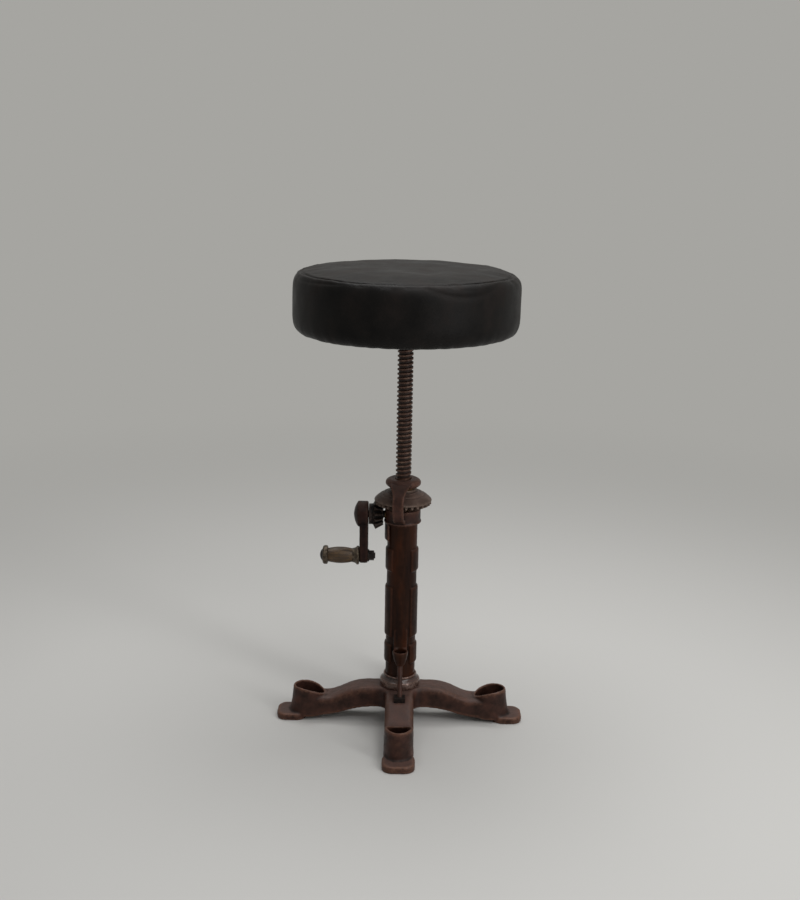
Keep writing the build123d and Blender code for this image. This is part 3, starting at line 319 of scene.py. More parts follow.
# Painted shade: the pinion's colours are near black, and stand in for the shadow under the gear's dome.
pinion_iron_painted_shade = cast_iron(
    "painted_shade_black_gear_iron", deep="#0d0a09", body="#171211", warm="#241b18",
    worn="#4b3f39", gloss=0.3, bare=0.4, dust_and_sheen=0.0,
)
casting(
    "bevel_gear", "cast_bevel_gear", "gear", gear_iron_painted_light,
    grain=0.7 * MM, soft=3, wander=0.12 * MM, rings=DOME_RINGS,
)
casting(
    "bevel_pinion", "cast_bevel_pinion", "crank", pinion_iron_painted_shade,
    grain=0.5 * MM, soft=3, wander=0.08 * MM,
)
coat(black_steel, "pinion_pin", "crank_shaft", "crank_set_screw")

# Crank: a cast arm with a domed hub, locked to its shaft by a headless screw.
# It has the pillar's patina, nearly black with oil and hand grease.
crank_iron = cast_iron(
    "hand_blackened_cast_iron", deep="#120a09", body="#1e1211", warm="#2e1b17",
    worn="#37251f", gloss=0.34, bare=0.2, shine=0.1,
)
casting(
    "crank_arm", "cast_crank", "crank", crank_iron,
    grain=0.8 * MM, soft=4, wander=0.15 * MM,
)
coat(black_steel, "handle_spindle", "spindle_washer", "spindle_nut")

# Grip: a turned hardwood barrel between two steel ferrules, free to spin on its pin.
# The wood runs along the handle, oiled by hands to a brown, with dark open pores.
FIGURE_LONG, FIGURE_WIDE = 30 * MM, 3 * MM
PORES_PER_FIGURE = 4.5
made, tree = finish_named("hand_oiled_turned_hardwood")
place = add(tree, "ShaderNodeTexCoord").outputs["Object"]
stretch = (1 / FIGURE_LONG, 1 / FIGURE_WIDE, 1 / FIGURE_WIDE)
along = add(tree, "ShaderNodeMapping", {"Vector": place, "Scale": stretch}).outputs["Vector"]
figure_size = {"Vector": along, "Scale": 1.0, "Detail": 4, "Distortion": 0.6}
figure = add(tree, "ShaderNodeTexNoise", figure_size).outputs["Fac"]
pore_size = {"Vector": along, "Scale": PORES_PER_FIGURE, "Detail": 2}
pores = add(tree, "ShaderNodeTexNoise", pore_size).outputs["Fac"]
stops = [(0.3, "#2b1d0e"), (0.5, "#47331c"), (0.72, "#644b2b")]
wood = add(tree, "ShaderNodeValToRGB", {"Fac": figure}, stops).outputs["Color"]
open_pores = {"Value": pores, "From Min": 0.56, "From Max": 0.66}
pitted = add(tree, "ShaderNodeMapRange", open_pores).outputs["Result"]
grained = add(tree, "ShaderNodeMix", {0: pitted, 6: wood, 7: linear("#2a1c0f")}, data_type="RGBA")
wood_rough = add(tree, "ShaderNodeMapRange", {"Value": figure, "To Min": 0.36, "To Max": 0.55})
pore_relief = {"Strength": 0.4, "Distance": 0.2 * MM, "Height": pitted}
wood_skin = add(tree, "ShaderNodeBump", pore_relief, invert=True)
surfaced(
    tree,
    Base_Color=grained.outputs[2],
    Roughness=wood_rough.outputs["Result"],
    Normal=wood_skin.outputs["Normal"],
)
coat(made, "grip_barrel")

# Ferrules: turned steel caps pressed on the grip's ends, so that the wood doesn't split.
# Handling has dulled them to a brownish grey, over faint rings left by the tool.
TOOL_RING = 5.65 * MM  # much coarser than a real tool's mark, so that it shows
WAVE_LENGTH = pi / 10  # of Blender's wave texture, at a scale of 1
TARNISH_WIDTH = 4 * MM
made, tree = finish_named("dulled_turned_steel")
place = add(tree, "ShaderNodeTexCoord").outputs["Object"]
tool_size = {"Vector": place, "Scale": WAVE_LENGTH / TOOL_RING, "Distortion": 0.8}
tool_marks = add(tree, "ShaderNodeTexWave", tool_size).outputs["Fac"]
tarnish_size = {"Vector": place, "Scale": 1 / TARNISH_WIDTH, "Detail": 5}
tarnish = add(tree, "ShaderNodeTexNoise", tarnish_size).outputs["Fac"]
stops = [(0.3, "#332a22"), (0.55, "#574c40"), (0.75, "#776a5a")]
dull_colour = add(tree, "ShaderNodeValToRGB", {"Fac": tarnish}, stops)
dull_rough = add(tree, "ShaderNodeMapRange", {"Value": tarnish, "To Min": 0.3, "To Max": 0.55})
dull_skin = add(tree, "ShaderNodeBump", {"Strength": 0.15, "Distance": 0.1 * MM, "Height": tool_marks})
surfaced(
    tree,
    Base_Color=dull_colour.outputs["Color"],
    Roughness=dull_rough.outputs["Result"],
    Metallic=0.7,
    Normal=dull_skin.outputs["Normal"],
)
coat(made, "outer_ferrule", "inner_ferrule")

# Lifting screw: a steel bar with a coarse right-hand thread, 7.2 mm from turn to turn.
# The crests are rubbed by the nut and the roots are full of old brown grease.
THREAD_PITCH = 7.2 * MM
THREAD_ROOT = 10.4 * MM
THREAD_SINK = 0.4 * MM
THREAD_BELOW, THREAD_ABOVE = 4 * MM, 2 * MM
ROOT_SHARE, CREST_SHARE = 0.68, 0.34
SPIGOT_RADIUS = 8 * MM
GREASE_STREAK = 7 * MM
screw_low, screw_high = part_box("lift_screw")
shoe_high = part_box("guide_shoe")[1]
flange_low, flange_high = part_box("seat_flange")
screw_steel, tree = finish_named("greased_lead_screw_steel")
place = add(tree, "ShaderNodeTexCoord").outputs["Object"]
flat = add(tree, "ShaderNodeVectorMath", {0: place, 1: (1, 1, 0)}, operation="MULTIPLY").outputs["Vector"]
radius = add(tree, "ShaderNodeVectorMath", {0: flat}, operation="LENGTH").outputs["Value"]
streak_size = {"Vector": place, "Scale": 1 / GREASE_STREAK, "Detail": 5, "Roughness": 0.6}
streak = add(tree, "ShaderNodeTexNoise", streak_size).outputs["Fac"]
tooth_reach = {"Value": radius, "From Min": THREAD_ROOT, "From Max": screw_high.x}
height = add(tree, "ShaderNodeMapRange", tooth_reach).outputs["Result"]
wear = add(tree, "ShaderNodeMath", {0: height, 1: streak}, operation="MULTIPLY").outputs[0]
stops = [(0.02, "#25160f"), (0.3, "#3f2a21"), (0.5, "#573d31"), (0.62, "#735a4c")]
thread_colour = add(tree, "ShaderNodeValToRGB", {"Fac": wear}, stops)
thread_rough = add(tree, "ShaderNodeMapRange", {"Value": wear, "To Min": 0.55, "To Max": 0.3})
surfaced(
    tree, Base_Color=thread_colour.outputs["Color"], Roughness=thread_rough.outputs["Result"], Metallic=0.35
)


def nodes_tree(name, sizes):
    """A Geometry Nodes tree whose inputs are a mesh and named sizes, and the outputs of its input node."""
    tree = bpy.data.node_groups.new(name, "GeometryNodeTree")
    tree.interface.new_socket("Geometry", in_out="INPUT", socket_type="NodeSocketGeometry")
    for label, value in sizes.items():
        kind = "NodeSocketInt" if isinstance(value, int) else "NodeSocketFloat"
        tree.interface.new_socket(label, in_out="INPUT", socket_type=kind)
    tree.interface.new_socket("Geometry", in_out="OUTPUT", socket_type="NodeSocketGeometry")
    return tree, tree.nodes.new("NodeGroupInput").outputs


def finished_tree(tree, geometry, finish):
    """Ends a tree: instances made real, then the finish."""
    real = add(tree, "GeometryNodeRealizeInstances", {"Geometry": geometry})
    coated = add(tree, "GeometryNodeSetMaterial", {"Geometry": real.outputs[0], "Material": finish})
    add(tree, "NodeGroupOutput", {"Geometry": coated.outputs[0]})


def grown(name, tree, sizes, mesh=None):
    """The plain piece that a tree makes with those sizes."""
    piece = new_piece(name, mesh or bpy.data.meshes.new(name))
    modifier = piece.modifiers.new(name, "NODES")
    modifier.node_group = tree
    for socket in tree.interface.items_tree:
        if socket.in_out == "INPUT" and socket.name in sizes:
            modifier[socket.identifier] = sizes[socket.name]
    plain(piece)
    piece.data.shade_smooth()
    piece.data.set_sharp_from_angle(angle=radians(38))
    return piece


SCREW = {
    "Pitch": THREAD_PITCH,
    "Root radius": THREAD_ROOT,
    "Crest radius": screw_high.x,
    "Sink": THREAD_SINK,
    "Thread start": shoe_high.z + THREAD_BELOW,
    "Thread length": flange_low.z - shoe_high.z - THREAD_BELOW - THREAD_ABOVE,
    "Bar start": shoe_high.z,
    "Bar length": screw_high.z - shoe_high.z,
    "Spigot radius": SPIGOT_RADIUS,
    "Spigot start": screw_low.z,
    "Spigot length": shoe_high.z - screw_low.z,
    "Steps in a turn": 40,
}
tree, size = nodes_tree("lifting_thread", SCREW)
turns = add(tree, "ShaderNodeMath", {0: size["Thread length"], 1: size["Pitch"]}, operation="DIVIDE")
tooth = add(tree, "ShaderNodeMath", {0: size["Crest radius"], 1: size["Root radius"]}, operation="SUBTRACT")
deep_tooth = add(tree, "ShaderNodeMath", {0: tooth.outputs[0], 1: size["Sink"]}, operation="ADD")
half_tooth = add(tree, "ShaderNodeMath", {0: deep_tooth.outputs[0], 1: 0.5}, operation="MULTIPLY").outputs[0]
middle = add(tree, "ShaderNodeMath", {0: size["Crest radius"], 1: half_tooth}, operation="SUBTRACT")
helix = add(
    tree,
    "GeometryNodeCurveSpiral",
    {
        "Resolution": size["Steps in a turn"],
        "Rotations": turns.outputs[0],
        "Start Radius": middle.outputs[0],
        "End Radius": middle.outputs[0],
        "Height": size["Thread length"],
        "Reverse": True,
    },
)
level = add(tree, "GeometryNodeSetCurveNormal", {"Curve": helix.outputs[0]}, mode="Z_UP")
wide = add(tree, "ShaderNodeMath", {0: size["Pitch"], 1: ROOT_SHARE}, operation="MULTIPLY")
narrow = add(tree, "ShaderNodeMath", {0: size["Pitch"], 1: CREST_SHARE}, operation="MULTIPLY")
ridge = add(
    tree,
    "GeometryNodeCurvePrimitiveQuadrilateral",
    {
        "Height": deep_tooth.outputs[0],
        "Bottom Width": wide.outputs[0],
        "Top Width": narrow.outputs[0],
        "Offset": 0.0,
    },
    mode="TRAPEZOID",
)
upright = add(tree, "GeometryNodeTransform", {"Geometry": ridge.outputs[0], "Rotation": (0, 0, radians(-90))})
thread = add(
    tree,
    "GeometryNodeCurveToMesh",
    {"Curve": level.outputs[0], "Profile Curve": upright.outputs[0], "Fill Caps": True},
)
lift = add(tree, "ShaderNodeCombineXYZ", {"Z": size["Thread start"]})
raised = add(tree, "GeometryNodeTransform", {"Geometry": thread.outputs[0], "Translation": lift.outputs[0]})
parts = [raised.outputs[0]]
for bar_name, bar_radius in (("Bar", "Root radius"), ("Spigot", "Spigot radius")):
    length = size[bar_name + " length"]
    bar = add(tree, "GeometryNodeMeshCylinder", {"Vertices": 48, "Radius": size[bar_radius], "Depth": length})
    half = add(tree, "ShaderNodeMath", {0: length, 1: 0.5}, operation="MULTIPLY")
    centre = add(tree, "ShaderNodeMath", {0: size[bar_name + " start"], 1: half.outputs[0]}, operation="ADD")
    shift = add(tree, "ShaderNodeCombineXYZ", {"Z": centre.outputs[0]})
    placed = add(tree, "GeometryNodeTransform", {"Geometry": bar.outputs[0], "Translation": shift.outputs[0]})
    parts.append(placed.outputs[0])
joined = add(tree, "GeometryNodeJoinGeometry")
for part in parts:
    tree.links.new(part, joined.inputs[0])
finished_tree(tree, joined.outputs[0], screw_steel)
threaded_screw = grown("threaded_lifting_screw", tree, SCREW)
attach(threaded_screw, "lift")
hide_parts("lift_screw")
coat(black_steel, "shoe_pin", "flange_pin")

# Seat flange: a cast plate with a hub, oil-dark like the gear head.
# It is pinned to the top of the screw, and wood screws hold it to the seat's board.
casting(
    "seat_flange", "cast_seat_flange", "lift", head_iron,
    grain=1.2 * MM, soft=3, wander=0.2 * MM,
)

# Seat screws: four wood screws of black steel, with slotted round heads.
# They go up through the flange into the board, and each slot stopped at its own angle.
HEAD_RADIUS = 5 * MM
HEAD_ROUND = 0.6  # the head's height as a share of its radius
SLOT_WIDE, SLOT_TALL = 1.3 * MM, 2.4 * MM
SLOT_DROP = 3.0 * MM
head = bmesh.new()
bmesh.ops.create_uvsphere(head, u_segments=24, v_segments=12, radius=HEAD_RADIUS)
bmesh.ops.bisect_plane(
    head,
    geom=head.verts[:] + head.edges[:] + head.faces[:],
    plane_co=(0, 0, 0),
    plane_no=(0, 0, 1),
    clear_outer=True,
)
bmesh.ops.holes_fill(head, edges=head.edges[:], sides=0)
bmesh.ops.scale(head, vec=(1, 1, HEAD_ROUND), verts=head.verts[:])
head_mesh = bpy.data.meshes.new("screw_head")
head.to_mesh(head_mesh)
head.free()
template = new_piece("screw_head", head_mesh)
slot_block = bmesh.new()
bmesh.ops.create_cube(slot_block, size=1.0)
bmesh.ops.scale(slot_block, vec=(4 * HEAD_RADIUS, SLOT_WIDE, SLOT_TALL), verts=slot_block.verts[:])
bmesh.ops.translate(slot_block, vec=(0, 0, -SLOT_DROP), verts=slot_block.verts[:])
slot_mesh = bpy.data.meshes.new("screw_slot")
slot_block.to_mesh(slot_mesh)
slot_block.free()
cutter = new_piece("screw_slot", slot_mesh)
cut = template.modifiers.new("slot", "BOOLEAN")
cut.object = cutter
cut.solver = "EXACT"
plain(template)
bpy.data.objects.remove(cutter)
HEADS = {"Count": 4, "Circle": 48 * MM, "Level": flange_high.z - 8 * MM, "Turn seed": 4}
tree, size = nodes_tree("seat_screw_ring", HEADS)
ring = add(tree, "GeometryNodeMeshCircle", {"Vertices": size["Count"], "Radius": size["Circle"]})
level = add(tree, "ShaderNodeCombineXYZ", {"Z": size["Level"]})
turned = add(
    tree,
    "GeometryNodeTransform",
    {"Geometry": ring.outputs[0], "Translation": level.outputs[0], "Rotation": (0, 0, radians(45))},
)
shape = add(tree, "GeometryNodeObjectInfo", {"Object": template})
slots = add(
    tree,
    "FunctionNodeRandomValue",
    {"Min": (0, 0, 0), "Max": (0, 0, pi), "Seed": size["Turn seed"]},
    data_type="FLOAT_VECTOR",
)
screws = add(
    tree,
    "GeometryNodeInstanceOnPoints",
    {
        "Points": turned.outputs[0],
        "Instance": shape.outputs["Geometry"],
        "Rotation": slots.outputs["Value"],
    },
)
finished_tree(tree, screws.outputs[0], black_steel)
seat_screw_heads = grown("slotted_seat_screws", tree, HEADS)
bpy.data.objects.remove(template)
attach(seat_screw_heads, "lift")
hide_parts("seat_screws")

# Seat board: a plywood disc, stained brown, that the cushion is built on.
# It is seen only from below, between the flange and the leather's hem.
VENEER_LONG, VENEER_WIDE, PLY = 90 * MM, 6 * MM, 2.4 * MM
made, tree = finish_named("stained_birch_plywood")
place = add(tree, "ShaderNodeTexCoord").outputs["Object"]
stretch = (1 / VENEER_LONG, 1 / VENEER_WIDE, 1 / PLY)
veneer = add(tree, "ShaderNodeMapping", {"Vector": place, "Scale": stretch}).outputs["Vector"]
veneer_size = {"Vector": veneer, "Scale": 1.0, "Detail": 6, "Distortion": 0.8}
veneer_figure = add(tree, "ShaderNodeTexNoise", veneer_size).outputs["Fac"]
stops = [(0.3, "#4a331f"), (0.5, "#6b4d30"), (0.7, "#86653f")]
veneer_colour = add(tree, "ShaderNodeValToRGB", {"Fac": veneer_figure}, stops)
veneer_skin = add(tree, "ShaderNodeBump", {"Strength": 0.2, "Distance": 0.2 * MM, "Height": veneer_figure})
surfaced(
    tree, Base_Color=veneer_colour.outputs["Color"], Roughness=0.68, Normal=veneer_skin.outputs["Normal"]
)
coat(made, "seat_board")

# Cushion: black leather over foam, a round top panel sewn to a side band, which is pulled round the board
# and tacked below. The foam swells between the seam and the board, and use has loosened the leather.
# Cowhide, pebbled and lightly creased, so it shines softly and never evenly.
AROUND = 160
GRID = AROUND // 4
SEAM_RADIUS = 165.5 * MM
CROWN = 4.5 * MM
SEAM_DROP = 5.0 * MM
SEAM_PIN = 0.55
MOST_SWELL = 5 * MM
CLOTH_STEPS = 20
cover_low, cover_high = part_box("seat_cover")
board_low, board_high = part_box("seat_board")
seam_level = cover_high.z - SEAM_DROP

# The side's outline is in mm, with heights above the board's underside.
# It runs from the seam down to the hem's inner edge, and then back inside, over the board.
WIDEST = cover_high.x / MM - 0.2
SEAM_HIGH = (seam_level - board_low.z) / MM
SIDE_HIGH, SIDE_LOW = 66.0, 26.0
HEM_TURN, HEM_LOW, HEM_SAG = 158.0, -2.0, 0.2
HEM_EDGE, HEM_INSIDE = 146.0, -0.4
BOARD_GAP = 0.3
BOARD_EDGE = board_high.x / MM + BOARD_GAP
BOARD_TOP = (board_high.z - board_low.z) / MM + BOARD_GAP
UPPER_ROWS, SIDE_ROWS, LOWER_ROWS = 6, 6, 7
CORNER_POWER = 0.8


def rounded_corner(rows, start, end, out_first):
    """Rows round a corner, a little squarer than an ellipse, from one radius and height to another."""
    outline = []
    for row in range(1, rows + 1):
        turn = row / rows * pi / 2
        early, late = sin(turn) ** CORNER_POWER, 1 - cos(turn) ** CORNER_POWER
        across, down = (early, late) if out_first else (late, early)
        outline.append((start[0] + (end[0] - start[0]) * across, start[1] + (end[1] - start[1]) * down))
    return outline


SIDE_PROFILE = rounded_corner(UPPER_ROWS, (SEAM_RADIUS / MM, SEAM_HIGH), (WIDEST, SIDE_HIGH), True)
for k in range(1, SIDE_ROWS + 1):
    SIDE_PROFILE.append((WIDEST, SIDE_HIGH + (SIDE_LOW - SIDE_HIGH) * k / SIDE_ROWS))
SIDE_PROFILE += rounded_corner(LOWER_ROWS, (WIDEST, SIDE_LOW), (HEM_TURN, HEM_LOW), False)
SIDE_PROFILE += [((HEM_TURN + HEM_EDGE) / 2, HEM_LOW - HEM_SAG), (HEM_EDGE, HEM_LOW - HEM_SAG)]
HIDDEN_PROFILE = [(HEM_EDGE, HEM_INSIDE), ((HEM_EDGE + BOARD_EDGE) / 2, HEM_INSIDE), (BOARD_EDGE, HEM_INSIDE)]
HIDDEN_PROFILE += [(BOARD_EDGE, BOARD_TOP / 2), (BOARD_EDGE, BOARD_TOP)]
HIDDEN_PROFILE += [(BOARD_EDGE * 2 / 3, BOARD_TOP), (BOARD_EDGE / 3, BOARD_TOP)]
LAST_FREE = UPPER_ROWS + SIDE_ROWS
PINNED = {LAST_FREE: 0.2, LAST_FREE + 1: 0.5, LAST_FREE + 2: 0.8}


def cushion_blank():
    """The cushion before it swells: a top of quads, rings down its side and under the board, and a hollow.
    Each point knows how far it is from the seam, in mm, and how firmly it is held."""
    shape = bmesh.new()
    travel = shape.verts.layers.float.new("seam_mm")
    pin = shape.verts.layers.deform.new()
    grid = {}
    for i in range(GRID + 1):
        for j in range(GRID + 1):
            u, v = 2 * i / GRID - 1, 2 * j / GRID - 1
            x, y = u * sqrt(1 - v * v / 2), v * sqrt(1 - u * u / 2)
            share = min(1.0, sqrt(x * x + y * y))
            point = (x * SEAM_RADIUS, y * SEAM_RADIUS, seam_level + CROWN * (1 - share * share))
            grid[i, j] = shape.verts.new(point)
            grid[i, j][travel] = (share - 1) * SEAM_RADIUS / MM
    for i in range(GRID):
        for j in range(GRID):
            shape.faces.new([grid[i, j], grid[i + 1, j], grid[i + 1, j + 1], grid[i, j + 1]])
    loop = [grid[i, 0] for i in range(GRID)] + [grid[GRID, j] for j in range(GRID)]
    loop += [grid[GRID - i, GRID] for i in range(GRID)] + [grid[0, GRID - j] for j in range(GRID)]
    for vert in loop:
        vert[pin][0] = SEAM_PIN
    walked = 0.0
    last = (SEAM_RADIUS / MM, SEAM_HIGH)
    for row, (radius, above) in enumerate(SIDE_PROFILE + HIDDEN_PROFILE):
        walked += sqrt((radius - last[0]) ** 2 + (above - last[1]) ** 2)
        last = (radius, above)
        ring = []
        for vert in loop:
            out = Vector((vert.co.x, vert.co.y, 0)).normalized()
            ring.append(shape.verts.new(out * radius * MM + Vector((0, 0, board_low.z + above * MM))))
            ring[-1][travel] = walked
            ring[-1][pin][0] = PINNED.get(row, 1.0 if row > max(PINNED) else 0.0)
        for k in range(AROUND):
            n = (k + 1) % AROUND
            shape.faces.new([loop[k], ring[k], ring[n], loop[n]])
        loop = ring
    middle = shape.verts.new((0, 0, board_low.z + BOARD_TOP * MM))
    middle[travel] = walked + HIDDEN_PROFILE[-1][0]
    middle[pin][0] = 1.0
    for k in range(AROUND):
        shape.faces.new([loop[k], middle, loop[(k + 1) % AROUND]])
    bmesh.ops.recalc_face_normals(shape, faces=shape.faces[:])
    mesh = bpy.data.meshes.new("leather_cushion")
    shape.to_mesh(mesh)
    shape.free()
    return mesh


def swollen(piece, most):
    """Lets a pinned piece swell under its filling's pressure, no point by more than most."""
    group = piece.vertex_groups.new(name="pin")
    start = points_of(piece.data)
    cloth = piece.modifiers.new("leather", "CLOTH")
    cloth.settings.vertex_group_mass = group.name
    cloth.settings.quality = 6
    cloth.settings.mass = 0.4
    cloth.settings.tension_stiffness = 30
    cloth.settings.compression_stiffness = 30
    cloth.settings.shear_stiffness = 15
    cloth.settings.bending_stiffness = 3
    cloth.settings.use_pressure = True
    cloth.settings.uniform_pressure_force = 4
    cloth.settings.effector_weights.gravity = 0
    cloth.collision_settings.use_collision = False
    for step in range(1, CLOTH_STEPS + 1):
        bpy.context.scene.frame_set(step)
    plain(piece)
    bpy.context.scene.frame_set(1)
    moved = points_of(piece.data) - start
    far = np.linalg.norm(moved, axis=1, keepdims=True)
    held = start + moved * np.minimum(1, most / np.maximum(far, 1e-9))
    piece.data.vertices.foreach_set("co", held.astype(np.float32).ravel())


cushion = new_piece("leather_cushion", cushion_blank())
swollen(cushion, MOST_SWELL)
finer = cushion.modifiers.new("finer", "SUBSURF")
finer.levels = finer.render_levels = 2
mesh = plain(cushion).data
points, normals = points_of(mesh), points_of(mesh, "normal")
travel = np.empty(len(points), np.float32)
mesh.attributes["seam_mm"].data.foreach_get("value", travel)
travel = travel.astype(float)
bearing = np.degrees(np.arctan2(points[:, 0], -points[:, 1]))


def bump(value, centre, width):
    """A smooth bump, 1 at its centre."""
    return np.exp(-(((value - centre) / width) ** 2))


def between(value, start, end, rise, fall):
    """1 between start and end, with a straight rise and fall inside them."""
    return np.clip((value - start) / rise, 0, 1) * np.clip((end - value) / fall, 0, 1)


def wavy(scale, seed, squeeze=(1, 1, 1)):
    """Smooth noise over the cushion, as wide as scale."""
    move = Vector((seed * 3.1, seed * 1.7, seed * 2.3))
    return np.array([noise.noise(Vector(p * squeeze) / scale + move) for p in points])


def slack_fold(first, last, ease, start, bow, groove, roll):
    """A fold between two bearings, which hangs from the seam in a bow: a groove, and a roll above it.
    The groove has its depth and width, and the roll its height, its share of the way down and its width."""
    path = start + bow * np.sin(np.clip((bearing - first) / (last - first), 0, 1) * pi)
    depth, width = groove
    height, way_down, roll_width = roll
    shape = height * bump(travel, path * way_down, roll_width) - depth * bump(travel, path, width)
    return between(bearing, first, last, ease, ease) * shape


# The leather's relief is in mm. Travel is mm from the seam, and bearings are degrees from the front.
RELIEF_END = 128  # on the hem, under the board
seam_dip = 0.7 * bump(travel, 5, 3.2) + 0.5 * bump(travel, -5, 3.5) - 2.3 * bump(travel, 0, 1.5)
puckers = 0.75 * wavy(9 * MM, 1, (1, 1, 0.25)) * np.exp(-np.abs(travel) / 9) * (np.abs(travel) > 0.8)
right_fold = slack_fold(4, 58, 14, start=3, bow=21, groove=(1.0, 4.0), roll=(0.9, 0.55, 6.0))
left_fold = slack_fold(-95, -30, 10, start=8, bow=5, groove=(0.7, 2.2), roll=(0.5, 0.5, 3.0))
pleat = np.sin(np.radians(bearing) * 46 + 2.6 * wavy(40 * MM, 2))
pulled = 0.25 * wavy(14 * MM, 3, (1, 1, 0.4)) - 0.4 * (0.5 + 0.5 * pleat) ** 2
pleats = pulled * between(travel, 74, 126, 22, 10)
slack = 1.1 * wavy(55 * MM, 4) + 0.4 * wavy(22 * MM, 5, (1, 1, 0.6))
flattened = -2.2 * bump(bearing, 92, 24) * bump(travel, 4, 12)
from_sitter = np.hypot(points[:, 0] - 30 * MM, points[:, 1] + 20 * MM)
sat_in = -2.6 * bump(from_sitter, 0, 75 * MM) * (travel < 0)
raised = seam_dip + puckers + right_fold + left_fold + pleats + slack + flattened + sat_in
raised *= travel < RELIEF_END
points += normals * (raised * MM)[:, None]
mesh.vertices.foreach_set("co", points.astype(np.float32).ravel())
mesh.shade_smooth()
mesh.update()

PEBBLE, CREASE, CLOUD = 1.5 * MM, 13 * MM, 45 * MM
WARP_WIDTH, WARP = 4 * MM, 1.2 * MM
made, tree = finish_named("worn_black_cowhide")
place = add(tree, "ShaderNodeTexCoord").outputs["Object"]
warp_size = {"Vector": place, "Scale": 1 / WARP_WIDTH, "Detail": 2}
warp = add(tree, "ShaderNodeTexNoise", warp_size).outputs["Color"]
bent = add(tree, "ShaderNodeVectorMath", {0: warp, 1: (WARP, WARP, WARP), 2: place}, operation="MULTIPLY_ADD")
bent = bent.outputs["Vector"]
cloud_size = {"Vector": place, "Scale": 1 / CLOUD, "Detail": 5, "Roughness": 0.6}
cloud = add(tree, "ShaderNodeTexNoise", cloud_size).outputs["Fac"]
stops = [(0.3, "#0e0d0d"), (0.5, "#161413"), (0.72, "#201b19")]
hide = add(tree, "ShaderNodeValToRGB", {"Fac": cloud}, stops)
polish = {"Value": cloud, "From Min": 0.3, "From Max": 0.7, "To Min": 0.36, "To Max": 0.52}
hide_rough = add(tree, "ShaderNodeMapRange", polish)
skin = None
for wide, reach, strength, depth in ((PEBBLE, 0.25, 0.25, 0.25 * MM), (CREASE, 0.035, 0.18, 0.3 * MM)):
    cells = add(tree, "ShaderNodeTexVoronoi", {"Vector": bent, "Scale": 1 / wide}, feature="DISTANCE_TO_EDGE")
    height = add(tree, "ShaderNodeMapRange", {"Value": cells.outputs["Distance"], "From Max": reach})
    relief = {"Strength": strength, "Distance": depth, "Height": height.outputs["Result"]}
    if skin:
        relief["Normal"] = skin.outputs["Normal"]
    skin = add(tree, "ShaderNodeBump", relief)
surfaced(
    tree,
    Base_Color=hide.outputs["Color"],
    Roughness=hide_rough.outputs["Result"],
    Normal=skin.outputs["Normal"],
    Specular_IOR_Level=0.11,
)
mesh.materials.append(made)
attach(cushion, "lift")
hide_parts("seat_cover", "seat_foam")

# Seam stitches: twisted thread, waxed black, five millimetres a stitch.
# They sew the top panel to the side band and lie sunk in the seam, so they catch little light.
STITCHES = {"Stitch spacing": 5.0 * MM, "Stitch length": 3.6 * MM, "Thread radius": 0.55 * MM}
STITCH_LIFT = 0.6 * MM
STRAND = 0.8 * MM
on_seam = np.flatnonzero(np.abs(travel) < 0.05)
on_seam = on_seam[np.argsort(bearing[on_seam])]
seam_points = points[on_seam] + normals[on_seam] * STITCH_LIFT
seam_edges = [(i, (i + 1) % len(seam_points)) for i in range(len(seam_points))]
seam_path = bpy.data.meshes.new("seam_path")
seam_path.from_pydata([tuple(p) for p in seam_points], seam_edges, [])
waxed_thread, tree = finish_named("waxed_black_thread")
place = add(tree, "ShaderNodeTexCoord").outputs["Object"]
strands = add(tree, "ShaderNodeTexNoise", {"Vector": place, "Scale": 1 / STRAND, "Detail": 3}).outputs["Fac"]
strand_colour = add(tree, "ShaderNodeValToRGB", {"Fac": strands}, [(0.35, "#12100f"), (0.65, "#2a2522")])
wax = add(tree, "ShaderNodeMapRange", {"Value": strands, "To Min": 0.4, "To Max": 0.62})
surfaced(tree, Base_Color=strand_colour.outputs["Color"], Roughness=wax.outputs["Result"])
tree, size = nodes_tree("seam_stitches", STITCHES)
seam = add(tree, "GeometryNodeMeshToCurve", {"Mesh": size["Geometry"]})
spacing = {"Curve": seam.outputs[0], "Length": size["Stitch spacing"]}
spaced = add(tree, "GeometryNodeCurveToPoints", spacing, mode="LENGTH")
bead = add(tree, "GeometryNodeMeshUVSphere", {"Segments": 8, "Rings": 6, "Radius": 1.0})
half_long = add(tree, "ShaderNodeMath", {0: size["Stitch length"], 1: 0.5}, operation="MULTIPLY")
slim_size = {"X": size["Thread radius"], "Y": size["Thread radius"], "Z": half_long.outputs[0]}
slim = add(tree, "ShaderNodeCombineXYZ", slim_size)
stitches = add(
    tree,
    "GeometryNodeInstanceOnPoints",
    {
        "Points": spaced.outputs["Points"],
        "Instance": bead.outputs["Mesh"],
        "Rotation": spaced.outputs["Rotation"],
        "Scale": slim.outputs[0],
    },
)
finished_tree(tree, stitches.outputs[0], waxed_thread)
seam_stitches = grown("seam_stitches", tree, STITCHES, seam_path)
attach(seam_stitches, "lift")

